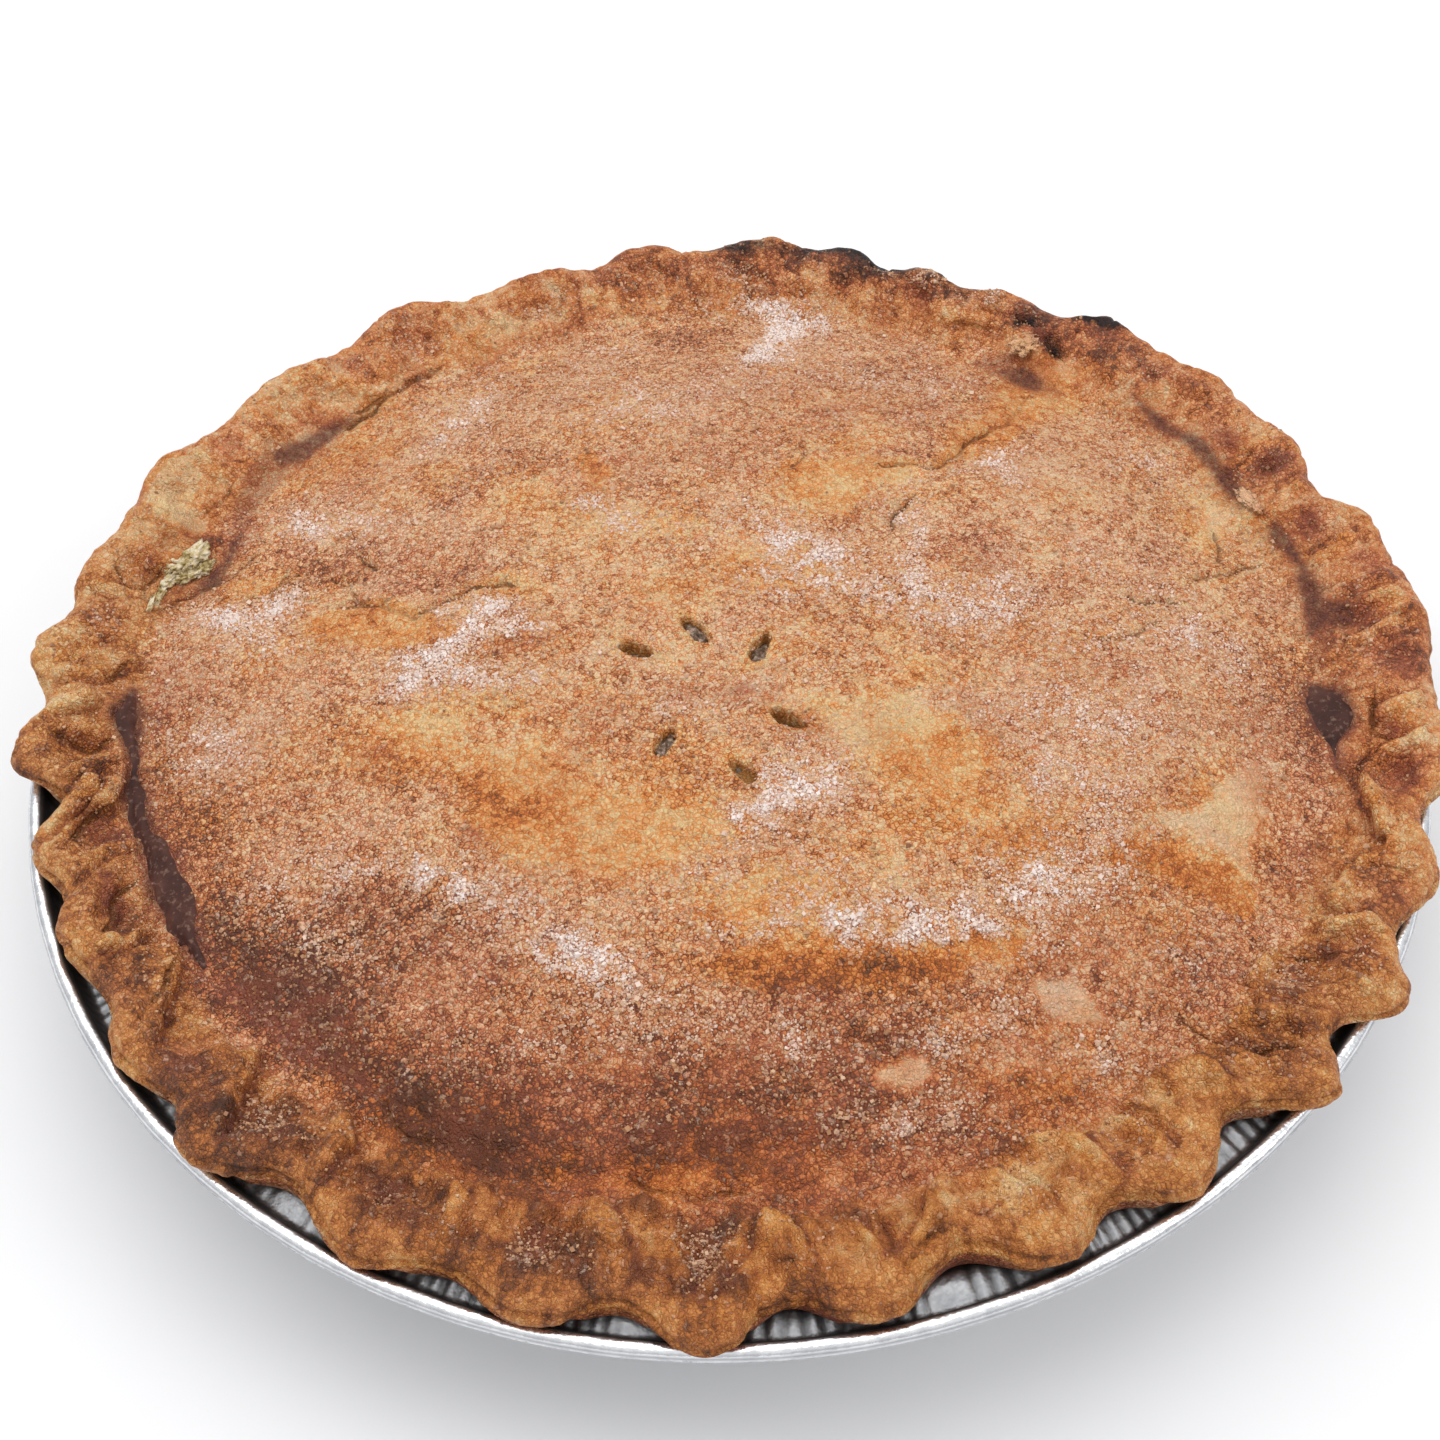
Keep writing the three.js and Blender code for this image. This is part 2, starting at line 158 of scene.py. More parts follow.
# Folds of dough pinched up round the edge: height, half width, then angle in degrees and radius
FOLDS = (
    (0.9, 1.6, (172, 107), (174.5, 112), (175.5, 118)), (1.0, 1.8, (178, 112), (179, 118), (180.5, 123)),
    (1.0, 1.6, (183.6, 105.5), (184.8, 110), (186.6, 114.5)),
    (0.9, 1.8, (184.5, 105.2), (187.5, 105.8), (189.8, 108)),
    (1.1, 2.2, (187.8, 110.5), (190, 114), (192, 118)),
    (0.9, 1.4, (194.6, 103.8), (195.2, 109), (197.6, 113.2)), (0.7, 0.8, (202, 109), (203.5, 111.3)),
    (1.0, 1.3, (204.8, 106), (206.3, 110.5), (206, 116.5)),
    (0.9, 1.5, (207.8, 103.4), (211, 105.8), (213.6, 110.4), (215.8, 112.5)),
    (1.1, 1.7, (222, 103), (224, 108), (225.6, 113), (227, 117)),
    (1.0, 1.8, (232, 101), (235.2, 105.5), (235.4, 112)),
    (0.7, 1.6, (243.6, 103), (246.6, 106), (247.4, 113)),
    (0.8, 2.2, (257.4, 101), (259, 105), (260.2, 112)), (0.8, 0.9, (263.8, 106), (265.8, 112.6)),
    (0.9, 1.2, (270.3, 103), (269, 107.6), (267.6, 113)),
    (0.8, 2.8, (272.6, 104), (273.6, 109), (273, 113)), (0.7, 1.2, (279, 104), (279.6, 111)),
    (0.9, 1.4, (282.6, 110), (285, 107), (286.6, 103)), (0.7, 1.8, (291.6, 103), (293, 110)),
    (1.0, 2.0, (296.4, 101), (298.2, 105), (298.8, 112)), (0.8, 1.4, (303.8, 104), (304.2, 111)),
    (1.0, 1.8, (308, 103), (311, 106), (311.4, 113)), (0.9, 1.2, (314, 103), (314.2, 110), (315.4, 115)),
    (0.9, 1.6, (318.6, 104), (320.4, 110), (322, 116)), (0.8, 1.3, (323, 103.6), (327, 103.4)),
    (0.6, 1.2, (326.8, 115), (325.8, 120)), (1.0, 1.5, (330.4, 109), (332, 115), (331.6, 119)),
    (0.9, 1.5, (333, 109.8), (336, 109), (338.6, 112)),
    (1.2, 1.4, (341.6, 113.6), (345, 110.6), (348.6, 110.4), (351, 113.4), (351.6, 119)),
    (0.8, 1.5, (355, 114), (356.2, 120)), (0.8, 1.4, (4, 113), (4.6, 119)),
    (0.9, 1.6, (8, 114), (7.6, 121)), (0.9, 1.6, (14.6, 112), (15, 119)),
    (1.0, 1.6, (21.4, 110), (22.6, 116), (22.8, 121)), (1.0, 1.6, (28.8, 113), (29.2, 121)),
    (0.9, 1.6, (37.4, 113), (37, 121)), (0.9, 1.8, (46, 112), (46.6, 119)),
    (0.9, 1.5, (53, 108), (56, 109), (58.4, 113)), (1.0, 1.6, (60, 112), (63.8, 109.8), (66, 112.5)),
    (0.8, 1.5, (71.4, 112), (73, 118)), (0.9, 1.8, (80, 113), (79.4, 120)),
    (0.9, 1.8, (91, 112), (91, 120)), (0.9, 1.8, (102.6, 112), (102.6, 120)),
    (1.0, 1.8, (112.8, 112), (113.6, 121)), (0.9, 1.8, (130, 110), (131.4, 118)),
    (0.9, 1.8, (140.6, 112), (140, 119)), (0.9, 1.6, (147.4, 113), (146.8, 120)),
    (1.0, 1.8, (155.4, 113), (153.8, 118), (155, 122)), (0.8, 1.5, (163.6, 110), (164.8, 118)),
)

# Creases between the folds: half width, depth, then angle and radius
CREASES = (
    (0.45, 0.9, (173, 107.6), (174.4, 109.5)), (0.5, 1.1, (190.4, 107.6), (191.6, 110.6), (193.2, 113)),
    (0.4, 0.8, (188.6, 114.6), (190.2, 116.2), (190.4, 119)),
    (0.5, 1.1, (199.4, 105.4), (201, 108.6), (204.4, 112)),
    (0.45, 0.8, (209.6, 104.2), (212, 107.4), (213.4, 110.6)), (0.45, 0.8, (280.8, 102.5), (280.9, 111.5)),
    (0.6, 1.3, (315.4, 98), (315.6, 104), (316.6, 109), (317.9, 114.4)),
    (0.5, 0.9, (327.4, 107.5), (328.5, 112.6)), (0.4, 0.7, (305.6, 104), (306, 107)),
    (0.45, 0.7, (338.2, 114), (337.2, 120)), (0.5, 1.0, (352, 115), (353.6, 111.5), (356, 112.4)),
    (0.45, 0.7, (148, 110.4), (152, 110.8)), (0.9, 1.3, (128.4, 106.6), (131.4, 106.8)),
    (0.4, 0.7, (121.6, 107.2), (124.6, 106.6)), (0.45, 0.8, (281.6, 113.5), (283, 111), (285.4, 109.6)),
    (0.4, 0.7, (59.6, 111.4), (63, 109)), (0.45, 0.9, (162, 117), (163.4, 113.4), (160, 111)),
    (0.5, 1.0, (181.4, 107.5), (182.4, 112), (181.8, 116)),
    (0.5, 0.9, (235.6, 96.5), (238.4, 98.6), (241, 97.6)),
    (0.45, 0.8, (260, 95.4), (266, 97.4), (270, 96.6)),
)

# Places that fingers pressed in: angle, radius, half length round the edge, half width across it,
# depth, how brown the juice and the oven made it, and how much sugar lies in it
DENTS = (
    (182.2, 112, 1.6, 4, 0.8, 0.5, 0), (192, 109.5, 3.5, 3, 0.8, 0.6, 0),
    (193.5, 105.5, 3.4, 2.5, 0.3, 0.9, 0), (201.5, 108.5, 5, 2.4, 0.9, 0.8, 0),
    (219.5, 111.5, 4, 3.2, 0.6, 0.6, 0.1), (210, 114.5, 6, 1.8, 0.3, 0.3, 0),
    (228.5, 108.5, 6, 4.5, 0.7, 0.3, 0.6), (240.5, 109, 3.6, 3.6, 0.5, 0.45, 0.4),
    (253.7, 110, 4, 5, 0.7, 0.5, 0.5), (266.5, 104, 5.5, 5, 0.5, 0.12, 0.6),
    (266.8, 109.5, 2.6, 3.4, 0.6, 0.25, 0.5), (280.7, 107, 1.2, 5, 0.5, 0.5, 0),
    (288, 109, 2.2, 2.5, 0.3, 0.35, 0.2), (300.7, 111.5, 2.4, 2.2, 0.4, 0.45, 0.2),
    (316.3, 107, 2, 7, 0.9, 0.45, 0.5), (325.5, 108, 6, 3, 0.5, 0.35, 0.4),
    (328.3, 111.5, 1.3, 3, 0.5, 0.6, 0), (329.5, 116, 2.4, 2, 0.3, 0.5, 0.4),
    (335.5, 118, 3, 3.4, 0.2, 0.5, 0), (348, 115.5, 4.8, 3.4, 1.3, 1.0, 0.1),
    (353.3, 113.5, 4, 1.6, 0.4, 0.9, 0), (0.8, 118, 5, 3.8, 0.6, 0.75, 0), (7, 115.5, 4, 2, 0.4, 0.85, 0),
    (11.5, 120, 3.6, 3.4, 0.4, 0.5, 0), (18.5, 115.5, 4, 2.4, 0.5, 0.85, 0),
    (26, 118.5, 3.2, 4, 0.6, 0.9, 0), (31.5, 114.5, 4, 2.4, 0.5, 0.8, 0),
    (42.5, 117.5, 5, 3, 0.4, 0.3, 0.3), (49.5, 121, 5, 4, 0.6, 0.5, 0), (54, 113, 2, 2.4, 1.2, 1.2, 0),
    (56.8, 116, 3, 1.6, 1.0, 1.2, 0), (68, 115, 4, 3, 0.4, 0.4, 0), (76, 115, 4, 3, 0.3, 0.25, 0.1),
    (84, 107.5, 5, 3, 0, 0, 0.9), (87, 115, 6, 3, 0.4, 0.25, 0.6), (97, 115.5, 7, 3, 0.5, 0.3, 0.4),
    (107, 113, 6, 3, 0.4, 0.25, 0.6), (121, 115, 7, 4, 0.5, 0.2, 0.5), (127.5, 116, 5, 4, 0.4, 0.35, 0.3),
    (144.5, 115.5, 3.6, 3, 0.5, 0.5, 0), (161, 115, 3.6, 3, 0.4, 0.25, 0.2),
    (168.5, 114.5, 5, 4, 0.5, 0.35, 0.3), (176, 110, 3, 4, 0.3, 0.2, 0.1),
)

# Dough that stayed pale on the edge, and that browned more (strength below 0): angle, radius, half length,
# half width, strength
PALE_EDGE = (
    (0.5, 115, 5, 4, -0.5), (0.5, 121, 5, 4, -0.8), (1, 121, 5, 5, -0.6), (4.5, 116.5, 3.5, 3, 0.7),
    (7, 120.5, 4, 4, 0.4), (7, 121, 8, 3, -0.7), (7, 123, 4, 4, -0.3), (7, 123, 5, 3, -0.4),
    (10.8, 122, 5, 4, -0.6), (12.2, 123, 5, 4, -0.4), (13, 104, 5, 6, 0.5), (13.8, 117.4, 5, 4, -0.4),
    (14, 115.4, 5, 4, -0.4), (14.5, 116, 4, 4, 0.4), (19, 107, 5, 5, 0.5), (19, 107, 6, 6, 0.7),
    (22, 105, 9, 4, 0.8), (22, 119, 4, 3, 0.6), (23, 113, 5, 4, -0.4), (23.5, 118, 5, 4, -0.5),
    (23.5, 119, 7, 4, -0.7), (27, 104, 8, 5, 0.8), (27, 106, 8, 4, 0.5), (29.5, 119, 3, 4, 0.5),
    (35.3, 117.6, 5, 4, -0.5), (35.4, 114, 5, 4, -0.3), (35.4, 114, 5, 4, -0.3), (35.4, 119, 5, 4, -0.6),
    (37, 118.5, 3, 3, 0.5), (37.7, 122, 6, 4, -0.4), (46, 118, 6, 5, -0.5), (47.5, 120, 9, 5, -1.3),
    (54.4, 117, 5, 4, -0.5), (55, 116, 9, 5, -1.5), (59.7, 104, 5, 4, -0.3), (64, 110, 6, 2, 0.4),
    (64, 116, 6, 4, -0.8), (72, 117, 9, 5, -1.8), (78.5, 108, 12, 5, 0.5), (79, 121, 10, 4, -1.8),
    (86, 119, 6, 4, -0.6), (89.5, 114, 6, 4, -0.4), (90, 116, 6, 4, -0.7), (90.5, 115, 10, 5, -0.7),
    (91.5, 112.5, 6, 2, 0.5), (97, 122, 7, 4, -0.9), (101, 119, 6, 4, -0.7), (101.6, 119.4, 5, 4, -0.3),
    (103, 113, 6, 3, 0.4), (109, 112, 8, 5, 0.5), (110, 111, 6, 2, 0.5), (113, 121, 5, 4, 0.6),
    (114, 117.3, 6, 4, -0.4), (118, 110, 14, 6, 0.6), (126.5, 119, 6, 4, -0.6), (126.5, 119.4, 6, 4, -0.4),
    (132, 117, 8, 5, 0.5), (132.5, 119, 9, 5, 0.9), (137, 107.6, 6, 4, -0.3), (137, 119, 9, 3.5, 0.7),
    (137.3, 107.6, 5, 4, -0.3), (139.4, 120, 6, 4, 0.3), (140.5, 110, 7, 5, 0.5), (144, 116, 6, 4, -0.4),
    (147.7, 105, 5, 4, -0.3), (149, 118, 6, 4, 0.7), (149.8, 121, 5, 4, 1.2), (153.7, 106, 5, 4, -1.0),
    (153.7, 106, 5, 4, -0.5), (154, 103, 8, 5, -0.6), (154, 113, 10, 7, 0.8), (154.4, 104, 5, 4, -0.4),
    (156.5, 117, 9, 4, 0.8), (161.5, 120, 8, 4, 0.6), (162.4, 103, 5, 4, -0.3), (166.4, 119, 5, 4, -0.3),
    (172, 112, 3, 4, 0.4), (173, 122, 5, 4, 0.9), (176.6, 117, 4, 4, 0.4), (180, 119, 4, 4, 0.5),
    (180.5, 120, 4, 4, 0.6), (181, 121, 6, 4, 0.4), (182.8, 120, 7, 5, -1.1), (183, 121, 6, 5, -0.5),
    (185.4, 116.5, 5, 4, -0.6), (187, 107, 8, 6, -0.9), (187.3, 111, 5, 4, -0.8), (187.5, 107, 4, 2, 0.6),
    (190, 108, 4, 4, 0.4), (190.5, 115, 6, 3.4, 0.9), (196, 114.6, 5, 4, -0.3), (196.5, 109, 2.6, 5, 0.6),
    (196.5, 112, 9, 6, -0.8), (201.4, 115, 6, 4, -0.5), (205.5, 111, 3, 5, 0.4), (205.8, 111, 1.6, 6, 0.8),
    (208.8, 112, 12, 7, -1.1), (210, 112, 8, 6, -0.5), (212, 109, 4, 3, 0.4), (215.5, 112, 5, 4, 0.6),
    (221.5, 113, 10, 6, -1.2), (222, 113, 6, 5, -0.6), (225, 109.5, 2, 6, 0.5), (225.5, 118, 8, 5, -0.9),
    (228, 118, 10, 4, -1.8), (229.8, 110, 6, 5, -0.8), (233, 111, 9, 7, -0.9), (234, 104, 7, 4, -0.6),
    (235.5, 106, 3, 5, 0.4), (243, 112, 12, 7, -0.8), (244.4, 111, 5, 4, 0.5), (246, 116, 8, 3, 0.5),
    (247.3, 109, 2.4, 5, 0.6), (248, 101.4, 5, 4, -0.4), (248, 106, 4, 5, 0.3), (248, 114, 14, 4, -0.5),
    (248.5, 101, 5, 4, -0.3), (255, 117, 8, 4, -0.8), (256, 108, 8, 6, -0.6), (259, 106, 5, 5, 0.5),
    (259.3, 107, 4, 6, 0.6), (260, 113, 6, 4, -0.4), (262, 114, 14, 4, -0.6), (262.5, 110, 2, 4, 0.5),
    (264.5, 109.5, 1, 4, 0.8), (267, 117, 5, 3, 0.4), (268, 101, 6, 4, -0.5), (268, 107, 3, 4, 0.5),
    (269.5, 107.5, 1.4, 4.5, 0.9), (271.7, 101, 5, 4, -0.3), (271.7, 101, 6, 4, -0.4),
    (272.6, 111, 5, 4, -0.6), (273, 111, 5, 4, -0.3), (273, 111, 5, 4, -0.3), (275.5, 105.5, 8, 6, 0.5),
    (275.5, 107, 7, 5, 0.5), (277.4, 116, 5, 4, -0.6), (280, 114, 6, 4, 0.5), (281, 110, 10, 7, 0.7),
    (286, 104.5, 4, 4, 0.4), (287, 108.8, 5, 4, -0.4), (287, 109, 5, 4, -0.4), (287, 110, 5, 4, -0.3),
    (292, 106, 6, 5, 0.4), (292.5, 106, 6, 5, 0.4), (292.5, 106.5, 5, 5, 1.2), (292.6, 109, 10, 7, 0.8),
    (298.7, 110.5, 5, 4, -0.4), (299, 105, 6, 5, 0.5), (301, 114, 5, 3, 0.4), (303.8, 106, 5, 4, 0.3),
    (304.6, 105.6, 5, 5, 0.5), (307, 108, 5, 5, 0.6), (307.8, 112.6, 5, 4, -0.4), (308, 112, 5, 4, -0.5),
    (310, 112, 5, 4, 0.4), (311, 106, 5, 4, -0.3), (311, 106, 5, 4, -0.3), (311, 108, 5, 5, -0.4),
    (318, 119, 5, 4, -0.5), (322.5, 113, 8, 5, -0.8), (324, 116, 5, 4, -0.4), (325, 103, 6, 2, 1.1),
    (325, 120, 4, 3, 0.5), (326.5, 118.5, 2.4, 3, 0.9), (328.5, 109, 5, 4, 0.5), (332, 115, 2.4, 4, 0.7),
    (333, 115, 9, 6, -0.8), (333.4, 116, 6, 5, -0.5), (334.5, 109.5, 5, 3, 0.5), (341, 117.5, 7, 4, 1.0),
    (344, 103, 6, 5, -0.4), (344.5, 111, 6, 1.4, 0.8), (347, 111, 8, 5, -0.9), (350.8, 116, 1.2, 4, 1.1),
    (352, 102, 7, 5, -0.8), (355, 117.5, 5, 3, 1.0),
)

# Juice that boiled over and baked smooth in the groove: strokes of x, y, half width
DEEP_POOLS = (
    ((-105.2, 8.0, 0.2), (-105.4, 2.4, 2.2), (-103.8, -5.6, 1.0), (-102.6, -13.4, 1.2),
     (-100.6, -20.0, 1.6), (-97.4, -26.9, 1.8), (-94.6, -33.9, 2.6), (-91.2, -41.7, 2.4),
     (-88.2, -47.0, 1.0), (-86.4, -51.0, 0.2)),
    ((103.4, -1.4, 1.0), (104.8, -5.0, 3.4), (105.2, -9.4, 3.2), (104.4, -14.0, 1.0), (104.0, -19.5, 0.2)),
)
# Thinner juice, lighter and more reddish
THIN_POOLS = (
    ((103.4, 37.6, 0.3), (106.0, 31.0, 0.6), (106.4, 22.0, 1.0), (107.0, 14.6, 1.6), (105.2, 11.4, 0.3)),
    ((107.2, 16.2, 1.6), (111.6, 14.6, 1.3)),
    ((81.5, 74.4, 0.3), (85.6, 69.4, 0.7), (90.5, 61.9, 0.9), (94.4, 55.7, 1.0), (97.2, 50.6, 0.7),
     (98.4, 47.0, 0.2)),
    ((-71.8, 78.2, 0.3), (-76.6, 74.2, 1.9), (-80.7, 70.0, 2.0), (-84.0, 66.4, 0.8)),
    ((-90.6, 47.0, 0.2), (-92.4, 41.0, 0.9), (-94.2, 35.8, 1.5), (-95.6, 34.0, 0.5)),
    ((57.0, 84.2, 0.6), (60.6, 82.2, 2.2), (63.8, 80.2, 1.2)),
)
# Thin reddish juice that only coloured the crust
STAINS = (
    ((-84.0, 66.4, 3.0), (-88.0, 61.0, 2.6), (-90.4, 54.5, 2.2), (-90.2, 47.0, 1.8)),
    ((-108.6, -21.0, 1.8), (-105.4, -24.2, 2.4), (-100.4, -23.4, 1.6)),
    ((-103.0, -34.0, 1.4), (-102.8, -39.5, 1.6), (-102.0, -44.0, 0.8)),
    ((-84.0, -54.0, 1.0), (-76.0, -62.0, 1.8), (-66.0, -70.0, 1.6), (-58.0, -76.0, 1.0)),
    ((52.0, 88.0, 1.0), (60.0, 84.0, 4.0), (68.0, 78.0, 1.0)), ((105.0, 4.0, 1.5), (108.0, 11.0, 2.2)),
)

# Bare pale pastry where no sugar stuck, and the golden seams along the creases: strokes of x, y, half width
BARE_SPOTS = (
    ((88.5, -21.5, 1.0), (84.8, -29.5, 4.0), (82.4, -36.0, 3.4), (83.8, -43.0, 0.6)),
    ((70.5, -34.8, 0.8), (77.5, -35.4, 3.0), (83.0, -33.0, 4.2)),
    ((47.4, -65.0, 0.8), (51.0, -67.4, 3.0), (56.4, -69.8, 0.8)), ((22.0, -79.6, 0.8), (27.0, -79.0, 1.8)),
    ((95.6, 46.0, 1.6), (93.0, 40.0, 2.2), (91.4, 34.0, 1.0)),
)
GOLD_SEAMS = (
    ((41.6, 49.0, 0.8), (46.0, 56.0, 1.6), (52.0, 61.6, 2.2), (58.0, 67.0, 2.2), (62.0, 74.0, 1.0)),
    ((14.0, 46.6, 0.8), (24.0, 46.4, 1.6), (36.0, 48.0, 1.0)),
    ((-72.0, 16.6, 1.6), (-62.0, 14.4, 4.6), (-50.0, 10.0, 3.0)),
    ((0.0, -62.6, 1.6), (16.0, -63.4, 2.6), (34.0, -62.4, 1.8), (44.0, -58.6, 1.0)),
    ((62.0, -42.0, 1.0), (72.0, -42.4, 2.4), (82.0, -47.0, 2.0)), ((-22.0, 44.0, 0.8), (-24.0, 52.0, 1.2)),
)

